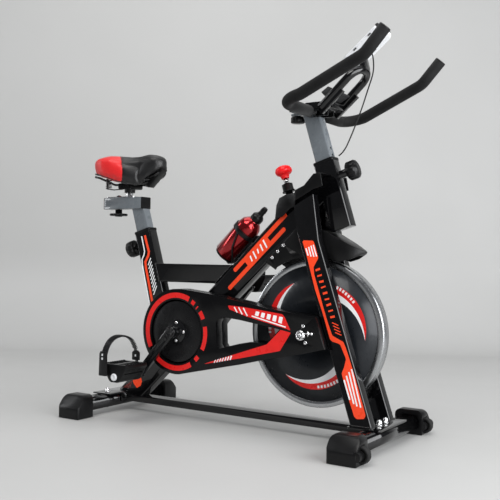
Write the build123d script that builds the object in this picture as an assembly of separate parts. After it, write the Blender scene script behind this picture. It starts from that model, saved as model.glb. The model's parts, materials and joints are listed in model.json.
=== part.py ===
from build123d import *
from collections import namedtuple
import math
import os

# Indoor spin bike.  Millimetres, +X towards the handlebar, +Y to the rider's left, +Z up.
# Coordinates are written in the drawing frame; save() moves each piece by SHIFT_X, which
# puts the origin on the floor under the middle of the bike.
# A two-number point is (X, Z).  A side is -1 for right (-Y) and +1 for left (+Y).

# ---- driving dimensions ----
SHIFT_X = 88.21
SIDES = (-1, 1)
CRANK = (-241.1, 266.5)            # crank axis
CRANK_LENGTH = 170.0
CRANK_DIR = (-0.6632, -0.7484)     # the right crank points rearwards and down
HUB = (172.5, 282.3)               # flywheel axis
FLYWHEEL_R, RIM_W = 200.8, 36.0
LEG_Y0, LEG_Y1 = 45.0, 75.0        # inner and outer faces of the fork legs
TUBE_W, TUBE_DEPTH = 40.0, 60.0    # seat and head tube section
DIAG_H = 75.0                      # height of the diagonal main tube
WALL = 2.5                         # wall of the welded tubes
REAR_X, FRONT_X = -532.3, 365.4    # stabilizer centres
REAR_HALF, FRONT_HALF = 235.8, 244.9
POST_D, POST_W, POST_T = 50.0, 30.0, 2.0
PEDAL_Y0, PEDAL_Y1 = 141.0, 234.0
HORN_Y = 192.3                     # half spacing of the handlebar horns

os.makedirs("parts", exist_ok=True)


def save(name, *shapes):
    solids = [solid.moved(Location((SHIFT_X, 0, 0))) for s in shapes for solid in s.solids()]
    shape = solids[0] if len(solids) == 1 else Compound(children=solids)
    export_step(shape, f"parts/{name}.step")


# ---- helpers ----
def box(x0, x1, y0, y1, z0, z1):
    """Box between two limits on each axis; X and Y limits may come in either order."""
    x0, x1 = sorted((x0, x1))
    y0, y1 = sorted((y0, y1))
    return Pos((x0 + x1) / 2, (y0 + y1) / 2, (z0 + z1) / 2) * Box(x1 - x0, y1 - y0, z1 - z0)


def outline_sketch(plane, points, corner=0):
    with BuildSketch(plane) as sketch:
        with BuildLine():
            Polyline(*points, close=True)
        make_face()
        if corner:
            fillet(sketch.vertices(), corner)
    return sketch.sketch


def prism(points, y0, y1, corner=0):
    """Closed XZ outline extruded between two Y limits."""
    y0, y1 = sorted((y0, y1))
    plane = Plane(origin=(0, y1, 0), x_dir=(1, 0, 0), z_dir=(0, -1, 0))
    return extrude(outline_sketch(plane, points, corner), amount=y1 - y0)


def plan_prism(half, z0, z1):
    """Half outline of (X, half width) mirrored about Y = 0 and extruded in Z."""
    points = [(x, -y) for x, y in half] + [(x, y) for x, y in reversed(half)]
    return extrude(outline_sketch(Plane.XY.offset(z0), points), amount=z1 - z0)


def cylinder(start, end, radius):
    start, end = Vector(*start), Vector(*end)
    height = (end - start).length
    return Plane(origin=start, z_dir=(end - start)) * Pos(0, 0, height / 2) * Cylinder(radius, height)


def y_cylinder(centre, y0, y1, radius):
    y0, y1 = sorted((y0, y1))
    return cylinder((centre[0], y0, centre[1]), (centre[0], y1, centre[1]), radius)


def ring(start, end, outer, inner):
    return cylinder(start, end, outer) - cylinder(start, end, inner)


def y_ring(centre, y0, y1, outer, inner):
    return y_cylinder(centre, y0, y1, outer) - y_cylinder(centre, y0, y1, inner)


def rect_bar(start, end, depth, width, corner, y=0.0):
    """Rectangular bar between XZ points: depth in the XZ plane, width along Y."""
    run = Vector(end[0] - start[0], 0, end[1] - start[1])
    plane = Plane(origin=(start[0], y, start[1]), x_dir=(0, 1, 0), z_dir=run)
    sketch = RectangleRounded(width, depth, corner) if corner else Rectangle(width, depth)
    return extrude(plane * sketch, amount=run.length)


def circle_edges(shape):
    return shape.edges().filter_by(GeomType.CIRCLE)


def bent_path(points, radii):
    """3-D path of straight runs joined by arcs, one radius per inner point."""
    points = [Vector(*p) for p in points]
    edges, current = [], points[0]
    for before, corner, after, radius in zip(points, points[1:], points[2:], radii):
        back, onward = (before - corner).normalized(), (after - corner).normalized()
        angle = math.acos(max(-1, min(1, back.dot(onward))))
        tangent = radius / math.tan(angle / 2)
        start, end = corner + back * tangent, corner + onward * tangent
        bisector = (back + onward).normalized()
        centre = corner + bisector * (radius / math.sin(angle / 2))
        if (start - current).length > 1e-6:
            edges.append(Line(current, start))
        edges.append(ThreePointArc(start, centre - bisector * radius, end))
        current = end
    edges.append(Line(current, points[-1]))
    return Wire(edges)


def pipe(path, radius):
    return sweep(Plane(origin=path @ 0, z_dir=path % 0) * Circle(radius), path=path)


def fluted_knob(radius, height, flutes, flute_r, base, direction, edge):
    """Round knob body rising from base, with finger flutes and chamfered rims."""
    knob = Cylinder(radius, height)
    knob = chamfer(circle_edges(knob), edge)
    reach = radius + flute_r * 0.55
    for i in range(flutes):
        angle = 2 * math.pi * i / flutes
        flute = Cylinder(flute_r, height + 2)
        knob -= Pos(reach * math.cos(angle), reach * math.sin(angle), 0) * flute
    return Plane(origin=base, z_dir=direction) * Pos(0, 0, height / 2) * knob


def on_circle(centre, radius, angle):
    return (centre[0] + radius * math.cos(angle), centre[1] + radius * math.sin(angle))


def circle_hull(c1, r1, c2, r2, y0, y1):
    """Prism over the convex outline of two circles in the XZ plane."""
    dx, dz = c2[0] - c1[0], c2[1] - c1[1]
    base = math.atan2(dz, dx)
    spread = math.acos((r1 - r2) / math.hypot(dx, dz))
    corners = ((1, c1, r1), (1, c2, r2), (-1, c2, r2), (-1, c1, r1))
    points = [on_circle(c, r, base + sign * spread) for sign, c, r in corners]
    return y_cylinder(c1, y0, y1, r1) + y_cylinder(c2, y0, y1, r2) + prism(points, y0, y1)


def rounded_outline(points, radii):
    """Outline with each corner replaced by a short polyline arc of its own radius."""
    out, count = [], len(points)
    for i, radius in enumerate(radii):
        corner = Vector(*points[i])
        back = (Vector(*points[i - 1]) - corner).normalized()
        onward = (Vector(*points[(i + 1) % count]) - corner).normalized()
        angle = math.acos(max(-1, min(1, back.dot(onward))))
        tangent = radius / math.tan(angle / 2)
        centre = corner + (back + onward).normalized() * (radius / math.sin(angle / 2))
        start, end = corner + back * tangent - centre, corner + onward * tangent - centre
        steps = 6 if radius > 2 else 1
        for j in range(steps + 1):
            spoke = start * (1 - j / steps) + end * (j / steps)
            point = spoke.normalized() * radius + centre
            out.append((point.X, point.Y))
    return out


def face(points):
    return make_face(Polyline(*points, close=True))


def turned(plane, profile):
    """Solid of revolution about the plane's Z axis from (radius, height) points."""
    return plane * revolve(Plane.XZ * face(profile), Axis.Z)


def largest(shape):
    return sorted(shape.solids(), key=lambda solid: -solid.volume)[0]


def unit(x, z):
    length = math.hypot(x, z)
    return (x / length, z / length)


class Slant:
    """Slanted axis in the XZ plane; offsets run along its normal.

    With X right and Z up, turn = 1 puts the normal a quarter turn anticlockwise of the
    axis and turn = -1 a quarter turn clockwise.
    """

    def __init__(self, origin, along, turn=1):
        self.origin = origin
        self.along = unit(*along)
        self.normal = (-turn * self.along[1], turn * self.along[0])

    def at(self, along, off=0.0):
        return tuple(o + along * a + off * n
                     for o, a, n in zip(self.origin, self.along, self.normal))

    def at3(self, along, off=0.0, y=0.0):
        x, z = self.at(along, off)
        return (x, y, z)

    def reach_z(self, z):
        """Distance along the axis at which it reaches height z."""
        return (z - self.origin[1]) / self.along[1]


# ---- slanted axes ----
DIAG_DIR = (0.728, 0.6854)                                  # forwards and up
head = Slant((189.0, 752.0), (-0.297, 0.955), turn=-1)      # from the top; normal forwards
seat = Slant((-445.0, 567.0), (-0.285, 0.9585), turn=-1)
brake = Slant((71.0, 685.0), (-0.302, 0.953))
fender_web = Slant((82, 531), DIAG_DIR)
bottle_axis = Slant((-137.5, 496.0), DIAG_DIR)              # from the bottle's bottom centre
cage_axis = Slant(bottle_axis.at(0, -50.0), DIAG_DIR)       # along the top of the main tube


def diag(x):
    """Point on the centre line of the diagonal main tube."""
    return (x, 0.9415 * x + 505.9)


# Telescoping posts: side of the pin (-1 rear, 1 front), its place and its boss length
PinPost = namedtuple("PinPost", "axis side pin_along boss")
SEAT = PinPost(seat, -1, -43.4, 15.0)
HEAD = PinPost(head, 1, -52.3, 22.0)
PIN_POSTS = (SEAT, HEAD)


def pin_point(post, out):
    """Point on the pin axis at a distance outside the tube face."""
    return post.axis.at3(post.pin_along, post.side * (TUBE_DEPTH / 2 + out))


# ---- places shared by several pieces ----
COLLAR = 8.0                                        # height of the bushing collars
FORK_SCREWS = ((181.0, 307.0), (187.5, 263.5))      # outer belt guard to right fork leg
GUARD_LUGS = ((-180.0, 336.0), (-297.0, 224.0))     # inner belt guard to frame
FENDER_SCREWS = ((83.0, 520.0), (65.0, 503.0), (47.0, 486.0))
CAGE_SCREWS = (30.0, 95.0)                          # along the bottle cage axis
REAR_BOLTS = [(REAR_X, -67.0), (REAR_X, 67.0)]      # (X, Y)
FRONT_BOLTS = [(FRONT_X, -20.0), (FRONT_X, 20.0)]
AXLE_R, AXLE_BORE = 6.0, 6.06


def fender_web_prism(grow, half):
    hi, lo, bottom = 14 + grow, -66 - grow, -14 - grow
    corners = ((hi, 3), (lo, 3), (lo, bottom), (hi, bottom))
    return prism([fender_web.at(*c) for c in corners], -half, half)


# ---------------------------------------------------------------------------
# 1  main frame: one welded piece
# ---------------------------------------------------------------------------
LEG_FOOT_X = 339.0
LEG_OUTER = [(LEG_FOOT_X - 30.5, 56), (LEG_FOOT_X + 29.5, 56), (209.5, 532), (191.5, 655),
             (134.5, 625), (150.5, 532)]
LEG_INNER = [(LEG_FOOT_X - 27, 50), (LEG_FOOT_X + 26, 50), (206.5, 532), (189.5, 648),
             (138.5, 622), (153.5, 532)]
DROPOUT = [(252, 318), (172, 312), (160, 300), (160, 266), (172, 256), (270, 250)]


def welded_tubes():
    frame = rect_bar(diag(-500.0), diag(200.0), DIAG_H, TUBE_W, 5)
    frame -= box(-560, -496, -60, 60, 0, 58)
    frame -= box(-500, -300, -60, 60, 0, 48)
    # rear bracket plate, its front flange, and the low rail to the fork
    frame += box(-566, -496, -95, 95, 54.05, 58)
    frame += box(-500, -496, -40, 40, 28, 56)
    frame += box(-497, 334, -20, 20, 28, 48)
    frame -= box(-495, 340, -17.5, 17.5, 30.5, 45.5)
    frame -= rect_bar(diag(-474.0), diag(140.0), DIAG_H - 2 * WALL, TUBE_W - 2 * WALL, 2.5)
    # seat tube and top tube, trimmed where they meet the main tube
    seat_tube = rect_bar(seat.at(-COLLAR), seat.at(-350.0), TUBE_DEPTH, TUBE_W, 5)
    frame += seat_tube - rect_bar(diag(-500), diag(60), DIAG_H - 1, TUBE_W + 2, 0)
    top_tube = rect_bar((-420, 435), (-60, 435), 56, TUBE_W, 5)
    frame += top_tube - rect_bar(diag(-400), diag(60), DIAG_H - 1, TUBE_W + 2, 0)
    frame -= rect_bar(seat.at(1), seat.at(-322), 56, 36, 4)
    frame -= rect_bar((-400, 435), (-158, 435), 51, 35, 2.5)
    # head tube
    frame += rect_bar(head.at(-COLLAR), head.at(-195.0), TUBE_DEPTH, TUBE_W, 5)
    return frame - rect_bar(head.at(1), head.at(-191), 56, 36, 4)


def add_fork(frame):
    for side in SIDES:
        leg = prism(LEG_OUTER, side * LEG_Y0, side * LEG_Y1)
        leg = fillet(leg.edges().filter_by(
            lambda e: abs(e.tangent_at(0.5).Y) < 0.1 and e.length > 100), 4)
        frame += leg - prism(LEG_INNER, side * (LEG_Y0 + WALL), side * (LEG_Y1 - WALL))
    # crown tubes between legs and main tube
    frame += box(146, 182, -46, -19, 600, 632) + box(146, 182, 19, 46, 600, 632)
    # base plate at the foot
    base = box(306, 398, -92, 92, 54.05, 58)
    frame += fillet(base.edges().filter_by(Axis.Z), 8)
    frame += box(306, 334, -45, 45, 50, 56)
    frame -= box(322, 345, -69, -51, 50, 60) + box(322, 345, 51, 69, 50, 60)
    return frame


def add_bearing_seats(frame):
    # bottom-bracket shell
    frame += y_cylinder(CRANK, -35, 35, 24)
    frame -= (y_cylinder(CRANK, -36, 36, 14) + y_cylinder(CRANK, -36, -24, 20)
              + y_cylinder(CRANK, 24, 36, 20))
    # flywheel drop-outs on both legs
    for side in SIDES:
        frame += prism(DROPOUT, side * 62, side * 68, 3)
        frame -= y_cylinder(HUB, side * 60, side * 70, 6.1)
    return frame


def add_stand_offs(frame):
    for c in FORK_SCREWS:
        frame += y_cylinder(c, -67, -94.7, 5)
        frame -= y_cylinder(c, -95, -80, 2.05)
    for c in GUARD_LUGS:
        frame += y_cylinder(c, -37.9, -19, 6)
        frame -= y_cylinder(c, -38, -22, 2.05)
    # brake rod guide
    frame += cylinder(brake.at3(-56), brake.at3(-146), 9)
    frame -= cylinder(brake.at3(-38), brake.at3(-150), 5.1)
    # fender web and its three cross studs
    frame += fender_web_prism(0, 3)
    for c in FENDER_SCREWS:
        frame += y_cylinder(c, -35.3, 35.3, 4.5)
        frame -= y_cylinder(c, -36, -24, 2.05) + y_cylinder(c, 24, 36, 2.05)
    # bottle cage bosses
    for s in CAGE_SCREWS:
        frame += cylinder(cage_axis.at3(s, -3), cage_axis.at3(s, 8), 6)
        frame -= cylinder(cage_axis.at3(s, -2), cage_axis.at3(s, 9), 2.05)
    # pop-pin housings behind the seat tube and in front of the head tube
    for post in PIN_POSTS:
        frame += cylinder(pin_point(post, -1), pin_point(post, post.boss), 11)
        frame -= cylinder(pin_point(post, 1.0), pin_point(post, post.boss - 2), 8)
        frame -= cylinder(pin_point(post, -6), pin_point(post, post.boss + 1), 4.05)
    # bolt holes for the stabilizers
    for x, y in REAR_BOLTS + FRONT_BOLTS:
        frame -= cylinder((x, y, 50), (x, y, 62), 4.3)
    return frame


save("main_frame", add_stand_offs(add_bearing_seats(add_fork(welded_tubes()))))

# ---------------------------------------------------------------------------
# 2  stabilizers, end caps, transport wheels, bolts
# ---------------------------------------------------------------------------
STAB_W, STAB_H, STAB_Z = 60.0, 40.0, 34.0
STAB_CORNER = 17
CAP_H, CAP_LENGTH = 68.0, 64.0
CAP_FRONT_X = FRONT_X + 44.0                # front face of the front caps
WHEEL_AXLE = (CAP_FRONT_X - 6.0, 24.5)
WHEEL_Y = FRONT_HALF - 36                   # mid plane of the wheels
BOLT_HEAD_Z, BOLT_TOP_Z = 13.9, 66


def stabilizer(x, half, bolt_places):
    plane = Plane(origin=(x, -half, STAB_Z), x_dir=(1, 0, 0), z_dir=(0, 1, 0))
    tube = extrude(plane * RectangleRounded(STAB_W, STAB_H, STAB_CORNER), amount=2 * half)
    tube -= extrude(plane * RectangleRounded(STAB_W - 4, STAB_H - 4, 15), amount=2 * half)
    for bolt_x, bolt_y in bolt_places:
        tube -= cylinder((bolt_x, bolt_y, 0), (bolt_x, bolt_y, 60), 4.3)
    return tube


def end_cap(x, half, side, x0, x1, nose_cut, socket_depth):
    """Cap rounded in three views; nose_cut shortens its front face for the wheel fork."""
    inner, outer = side * (half - CAP_LENGTH), side * half
    y0, y1 = sorted((inner, outer))
    front_x = x1 - nose_cut
    side_view = [(x0, 0), (front_x, 0), (front_x, CAP_H), (x0, CAP_H)]
    cap = prism(rounded_outline(side_view, [3, 3, 17, 17]), y0, y1)
    front_view = rounded_outline(
        [(inner, 0), (outer, 0), (outer, 30), (outer - side * 30, CAP_H), (inner, CAP_H)],
        [0.5, 3, 13, 15, 0.5])
    plane = Plane(origin=(x0 - 1, 0, 0), x_dir=(0, 1, 0), z_dir=(1, 0, 0))
    cap &= extrude(plane * face(front_view), amount=x1 - x0 + 2)
    top_view = rounded_outline([(x0, inner), (x1, inner), (x1, outer), (x0, outer)],
                               [0.5, 0.5, 8, 8])
    cap &= extrude(Plane.XY.offset(-1) * face(top_view), amount=CAP_H + 2)
    # socket for the stabilizer tube, then the hollow underside
    plane = Plane(origin=(x, side * (half - 70), STAB_Z), x_dir=(1, 0, 0), z_dir=(0, side, 0))
    cap -= extrude(plane * RectangleRounded(STAB_W + 0.5, STAB_H + 0.5, STAB_CORNER),
                   amount=socket_depth)
    cap -= box(x0 + 8, x1 - 8, y0 + 6, y1 - 8, -1, STAB_Z - 24)
    return cap


def rear_cap(side):
    return end_cap(REAR_X, REAR_HALF, side, REAR_X - 42, REAR_X + 40, 0, 35)


def front_cap(side):
    cap = end_cap(FRONT_X, FRONT_HALF, side, FRONT_X - 40, CAP_FRONT_X, 4, 22.6)
    y0, y1 = sorted((side * (FRONT_HALF - CAP_LENGTH), side * FRONT_HALF))
    wheel_y = side * WHEEL_Y
    cap += (y_cylinder(WHEEL_AXLE, y0 + 1, y1 - 1, 12)
            & box(CAP_FRONT_X - 12, CAP_FRONT_X + 30, y0, y1, 0, 80))
    cap -= y_cylinder(WHEEL_AXLE, wheel_y - 10.7, wheel_y + 10.7, 23.5)
    cap += y_cylinder(WHEEL_AXLE, wheel_y - 11.5, wheel_y + 11.5, 3.9)
    return cap


def transport_wheel(y):
    wheel = y_cylinder(WHEEL_AXLE, y - 9.5, y + 9.5, 21.5)
    wheel = fillet(circle_edges(wheel), 3)
    wheel -= y_cylinder(WHEEL_AXLE, y - 12, y + 12, 4.0)
    wheel -= (y_ring(WHEEL_AXLE, y - 11, y - 6, 15, 7)
              + y_ring(WHEEL_AXLE, y + 6, y + 11, 15, 7))
    return wheel


def stabilizer_bolt(x, y):
    shank = cylinder((x, y, BOLT_HEAD_Z), (x, y, BOLT_TOP_Z), 4.0)
    head_dome = Pos(0, 0, 7) * Sphere(12) & Pos(0, 0, -5) * Box(30, 30, 10)
    return shank + Pos(x, y, BOLT_HEAD_Z) * head_dome


def dome_nut(x, y):
    washer = ring((x, y, 58.02), (x, y, 59.5), 9, 4.3)
    hexagon = extrude(Plane(origin=(x, y, 59.5)) * RegularPolygon(7.5, 6), amount=6.5)
    dome = Pos(x, y, BOLT_TOP_Z) * (Sphere(6.6) & Pos(0, 0, 5) * Box(20, 20, 10))
    return washer + hexagon + dome - cylinder((x, y, 58), (x, y, 67), 4.05)


save("rear_stabilizer", stabilizer(REAR_X, REAR_HALF - 36, REAR_BOLTS))
save("front_stabilizer", stabilizer(FRONT_X, FRONT_HALF - 48, FRONT_BOLTS))
save("rear_end_caps", *[rear_cap(side) for side in SIDES])
save("front_end_caps", *[front_cap(side) for side in SIDES])
save("transport_wheel_right", transport_wheel(-WHEEL_Y))
save("transport_wheel_left", transport_wheel(WHEEL_Y))
save("stabilizer_bolts", *[stabilizer_bolt(*place) for place in REAR_BOLTS + FRONT_BOLTS])


# ---------------------------------------------------------------------------
# 3  post bushings, seat post, slider, saddle
# ---------------------------------------------------------------------------
def bushing(post):
    axis = post.axis
    body = (rect_bar(axis.at(-90), axis.at(0), 55.8, 35.8, 4)
            + rect_bar(axis.at(-COLLAR + 0.02), axis.at(0), 62, 42, 6))
    body -= rect_bar(axis.at(-91), axis.at(1), POST_D + 0.3, POST_W + 0.3, 5)
    body -= cylinder(axis.at3(post.pin_along, post.side * 20),
                     axis.at3(post.pin_along, post.side * 31), 4.6)
    return body


def post_tube(post, bottom, top, holes):
    """Hollow post; holes are pin hole distances above the pin."""
    axis = post.axis
    tube = rect_bar(axis.at(bottom), axis.at(top), POST_D, POST_W, 5)
    tube -= rect_bar(axis.at(bottom - 1), axis.at(top + 1),
                     POST_D - 2 * POST_T, POST_W - 2 * POST_T, 3.5)
    for hole in holes:
        along = post.pin_along + hole
        tube -= cylinder(axis.at3(along, post.side * 15), axis.at3(along, post.side * 31), 4.5)
    return tube


save("post_bushings", *[bushing(post) for post in PIN_POSTS])

# seat post with the slotted saddle rail on top
HOLE_PITCH = 20
RAIL_X0, RAIL_X1, RAIL_Z0, RAIL_Z1 = -600.0, -447.0, 634.0, 671.0
RAIL_HALF_W, RAIL_WALL, RAIL_CORNER = 22.0, 2.5, 2.5
SLOT_X0, SLOT_X1, SLOT_R = -584, -512, 4.6


def rail_block(x0, x1, inset):
    return box(x0, x1, -RAIL_HALF_W + inset, RAIL_HALF_W - inset, RAIL_Z0 + inset, RAIL_Z1 - inset)


def rounded_rail_block(x0, x1):
    return fillet(rail_block(x0, x1, 0).edges().filter_by(Axis.X), RAIL_CORNER)


seat_tube = post_tube(SEAT, -200, seat.reach_z(RAIL_Z0) + 20, range(-120, 41, HOLE_PITCH))
seat_tube -= box(-600, -380, -60, 60, RAIL_Z0, 760)
rail = rounded_rail_block(RAIL_X0, RAIL_X1)
rail -= rail_block(RAIL_X0 - 1, RAIL_X1 + 1, RAIL_WALL)
slot = box(SLOT_X0, SLOT_X1, -SLOT_R, SLOT_R, 620, 690)
for x in (SLOT_X0, SLOT_X1):
    slot += cylinder((x, 0, 620), (x, 0, 690), SLOT_R)
rail -= slot
rail -= box(-585, -512, -RAIL_HALF_W - 1, -RAIL_HALF_W + 0.6, 652, 653.6)   # line on right face
save("seat_post", seat_tube + rail)


def rail_plug(x, outward):
    """Hollow plug with its flange outside x."""
    return (rounded_rail_block(x, x + outward * 3) + rail_block(x, x - outward * 14, 2.7)
            - rail_block(x - outward * 3, x - outward * 15, 5))


save("seat_rail_plugs", rail_plug(RAIL_X1 + 0.02, 1), rail_plug(RAIL_X0 - 0.02, -1))

# slider plate with the saddle stem and the clamp stud below it
STEM_X, CLAMP_X = -512.0, -558.0
slider = box(-600, -484, -17, 17, RAIL_Z1 + 0.1, RAIL_Z1 + 3.1)
slider = fillet(slider.edges().filter_by(Axis.Z), 8)
slider += ring((STEM_X, 0, RAIL_Z1 + 2), (STEM_X, 0, 712), 11, 9)
slider += cylinder((CLAMP_X, 0, RAIL_Z1 + 1), (CLAMP_X, 0, 617), 4.0)
slider += Pos(CLAMP_X, 0, RAIL_Z1 - 2.5) * (Sphere(12) & Pos(0, 0, 10.6) * Box(30, 30, 10))
save("seat_slider", slider)

knob = fluted_knob(29, 7, 8, 7, (CLAMP_X, 0, 613.5), (0, 0, 1), 1.5)
knob += cylinder((CLAMP_X, 0, 620), (CLAMP_X, 0, 633.4), 11)
knob += Pos(CLAMP_X, 0, 620) * (Sphere(14) & Pos(0, 0, -6.5) * Box(40, 40, 5))
knob -= cylinder((CLAMP_X, 0, 616), (CLAMP_X, 0, 640), 4.05)
save("seat_slider_knob", knob)

# saddle clamp: block with a stem socket, ribbed sides and two bores for the wires
SADDLE_WIRE_R, WIRE_Y, WIRE_Z = 3.5, 21, 711
clamp = box(-536, -484, -29, 29, 697.2, 715.5)
clamp = fillet(clamp.edges().filter_by(Axis.Y), 5)
clamp += ring((STEM_X, 0, 686), (STEM_X, 0, 698), 17, 12.6)
clamp -= cylinder((STEM_X, 0, 680), (STEM_X, 0, 713.6), 12.6)
for i in range(5):
    x0, x1 = -531 + i * 10, -527.5 + i * 10
    clamp -= box(x0, x1, -30, -27, 690, 720) + box(x0, x1, 27, 30, 690, 720)
for side in SIDES:
    y = side * WIRE_Y
    clamp -= cylinder((-540, y, WIRE_Z), (-480, y, WIRE_Z), SADDLE_WIRE_R + 0.1)
save("saddle_clamp", clamp)

# right half of the saddle wire, rear to front; the left half mirrors it
WIRE_HALF = [(-603, -62, 735), (-585, -60, 731), (-556, -WIRE_Y, WIRE_Z),
             (-470, -WIRE_Y, WIRE_Z), (-432, -15, 716)]
wire_left = [(x, -y, z) for x, y, z in reversed(WIRE_HALF)]
wire_path = bent_path(WIRE_HALF + [(-420, 0, 718.5)] + wire_left,
                      [8, 14, 14, 20, 9.0, 20, 14, 14, 8])
save("saddle_rails", pipe(wire_path, SADDLE_WIRE_R))

# saddle stations: X, half width, bottom Z, top Z
SADDLE = [
    (-629, 26, 757, 780), (-620, 60, 750, 791), (-600, 84, 745, 796), (-570, 97, 740, 798),
    (-540, 96, 736, 797), (-510, 84, 732, 795), (-480, 65, 729, 793), (-450, 49, 727, 795),
    (-420, 41, 729, 800), (-395, 34, 737, 801), (-380, 25, 747, 796), (-373, 12, 760, 785)]


def station_sketch(x, points):
    return outline_sketch(Plane(origin=(x, 0, 0), x_dir=(0, 1, 0), z_dir=(1, 0, 0)), points)


def cushion_station(x, half, z0, z1):
    rise = z1 - z0
    left = [(half * 0.55, z0), (half * 0.93, z0 + rise * 0.22), (half, z0 + rise * 0.45),
            (half * 0.88, z0 + rise * 0.78), (half * 0.5, z1 - rise * 0.04)]
    right = [(-y, z) for y, z in reversed(left)]
    # start at the right bottom corner
    return station_sketch(x, right[-1:] + left + [(0, z1)] + right[:-1])


def base_station(x, half, z0, z1):
    edge = half * 0.78
    return station_sketch(x, [(-edge, z0 - 4.5), (edge, z0 - 4.5), (edge, z0 - 0.6),
                              (-edge, z0 - 0.6)])


save("saddle_cushion", loft([cushion_station(*row) for row in SADDLE], ruled=True))
save("saddle_base", loft([base_station(*row) for row in SADDLE[1:-1]], ruled=True))

# ---------------------------------------------------------------------------
# 4  pop pins, their springs and knobs
# ---------------------------------------------------------------------------
PIN_R, PIN_KNOB_GAP = 4.0, 5.0


def coil(start, end, radius, wire_r, turns):
    start, end = Vector(*start), Vector(*end)
    length = (end - start).length
    helix = Helix(pitch=length / turns, height=length, radius=radius)
    profile = Plane(origin=helix @ 0, z_dir=helix % 0) * Circle(wire_r)
    spring = sweep(profile, path=helix, is_frenet=True)
    return Plane(origin=start, z_dir=(end - start)) * spring


# drawn released: 4 mm further in the pins stand in the post holes
springs = []
for name, post, turns in (("seat", SEAT, 1.0), ("head", HEAD, 4)):
    boss, knob_start = post.boss, post.boss + PIN_KNOB_GAP
    pin = cylinder(pin_point(post, -4.8), pin_point(post, boss + 17), PIN_R)
    pin += cylinder(pin_point(post, 5.3), pin_point(post, 6.3), 7.5)
    save(f"{name}_pin", pin)
    outward = Vector(*pin_point(post, 1)) - Vector(*pin_point(post, 0))
    knob = fluted_knob(26, 26, 9, 6, pin_point(post, knob_start), outward, 3)
    knob += cylinder(pin_point(post, knob_start + 25), pin_point(post, knob_start + 28), 17)
    knob -= cylinder(pin_point(post, knob_start - 1), pin_point(post, boss + 17.2), 4.05)
    save(f"{name}_pin_knob", knob)
    springs.append(coil(pin_point(post, boss - 2.7), pin_point(post, 11.1), 6.0, 0.45, turns))

# ---------------------------------------------------------------------------
# 5  handlebar post, handlebar, foam, console
# ---------------------------------------------------------------------------
POST_Z = 885.9                     # top of the post's clamping tongue
BAR_KNOB_X = 101.0
BAR_R, FOAM_R = 12.5, 15.6

bar_post = post_tube(HEAD, -120, head.reach_z(POST_Z) + 20, range(-60, 81, HOLE_PITCH))
bar_post -= box(0, 400, -60, 60, POST_Z - 4, 990)
# solid top 4 mm thick, then a tongue to the rear with the knob hole
bar_post += (rect_bar(head.at(head.reach_z(POST_Z - 6)), head.at(head.reach_z(POST_Z) + 20),
                      POST_D, POST_W, 5)
             - box(0, 400, -60, 60, POST_Z, 990) - box(0, 400, -60, 60, 800, POST_Z - 4))
bar_post -= box(143.9, 400, -60, 60, 870.9, 990)
bar_post += box(BAR_KNOB_X - 14, 135, -14, 14, POST_Z - 6, POST_Z)
bar_post -= cylinder((BAR_KNOB_X, 0, 860), (BAR_KNOB_X, 0, 900), 4.3)
save("handlebar_post", bar_post)

# right horn from below its tip to the corner of the rear cross bar
HORN_BENDS = [(388.4, -HORN_Y, 975.8), (214, -HORN_Y, 897), (157, -HORN_Y, 884)]
HORN_RADII = [55, 60, 52]
LOOP = [(196, -45, 890), (300, -45, 986), (300, 45, 986), (196, 45, 890)]
console = Slant((303.0, 1053.0), (0.770, 0.638))    # face centre, up the slope; normal out

right_horn = [(440, -HORN_Y, 1033)] + HORN_BENDS
left_horn = [(x, -y, z) for x, y, z in reversed(right_horn)]
handlebar = (pipe(bent_path(right_horn + left_horn, HORN_RADII + HORN_RADII[::-1]), BAR_R)
             + pipe(bent_path(LOOP, [40, 40]), 11))
handlebar += box(96, 210, -40, 40, POST_Z + 0.1, POST_Z + 5.1)
handlebar += box(142, 224, -33, 33, POST_Z + 4, 909)
for side in SIDES:
    handlebar += box(146, 204, side * 15.3, side * 18.3, 873, POST_Z + 2)
    handlebar += rect_bar((196, 878), (258, 932), 15, 14, 0, y=side * 44)
    handlebar += box(190, 216, side * 32, side * 50, POST_Z + 2, 900)
# console bracket from the loop's front end
bracket = [console.at(*c) for c in ((-34, -20.2), (12, -20.2), (12, -23.2), (-20, -23.2))]
handlebar += prism(bracket + [(310, 990), (298, 990)], -18, 18)
handlebar -= cylinder((BAR_KNOB_X, 0, 880), (BAR_KNOB_X, 0, 893), 4.05)
handlebar -= cylinder(console.at3(1, -18), console.at3(1, -30), 5.5)
save("handlebar_frame", handlebar)


def grip_path(tip_x, tip_z, inner_y):
    points = [(tip_x, -HORN_Y, tip_z)] + HORN_BENDS + [(157, inner_y, 884)]
    return bent_path(points, HORN_RADII)


grip = (pipe(grip_path(441.0, 1034.1, -34), FOAM_R)
        - pipe(grip_path(440.0, 1033.0, -33), BAR_R + 0.1)
        - box(130, 210, -41, -30, 870, 910))
save("foam_grips", grip, mirror(grip, about=Plane.XZ))

knob = fluted_knob(19.5, 17, 8, 5, (BAR_KNOB_X, 0, 861), (0, 0, 1), 2)
knob += cylinder((BAR_KNOB_X, 0, 877), (BAR_KNOB_X, 0, 879.8), 9)
knob += cylinder((BAR_KNOB_X, 0, 870), (BAR_KNOB_X, 0, 890.5), 4.0)
save("handlebar_clamp_knob", knob)

# console, in a plane on its face whose local +y points down the slope
CONSOLE_W, CONSOLE_L, CONSOLE_CORNER, CONSOLE_DEPTH = 84.0, 130.0, 16, 20
SCREEN_Y, BUTTON_Y = -14, 38
face_normal = Vector(console.normal[0], 0, console.normal[1])
face_plane = Plane(origin=console.at3(0), x_dir=(0, 1, 0), z_dir=face_normal)


def console_slab(sketch, z, amount, y=0):
    return extrude(face_plane * Pos(0, y, z) * sketch, amount=amount)


def height_above(edge, level):
    """Height of an edge's centre above a level on the console's normal."""
    return (edge.center() - Vector(*console.at3(0, level))).dot(face_normal)


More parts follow.
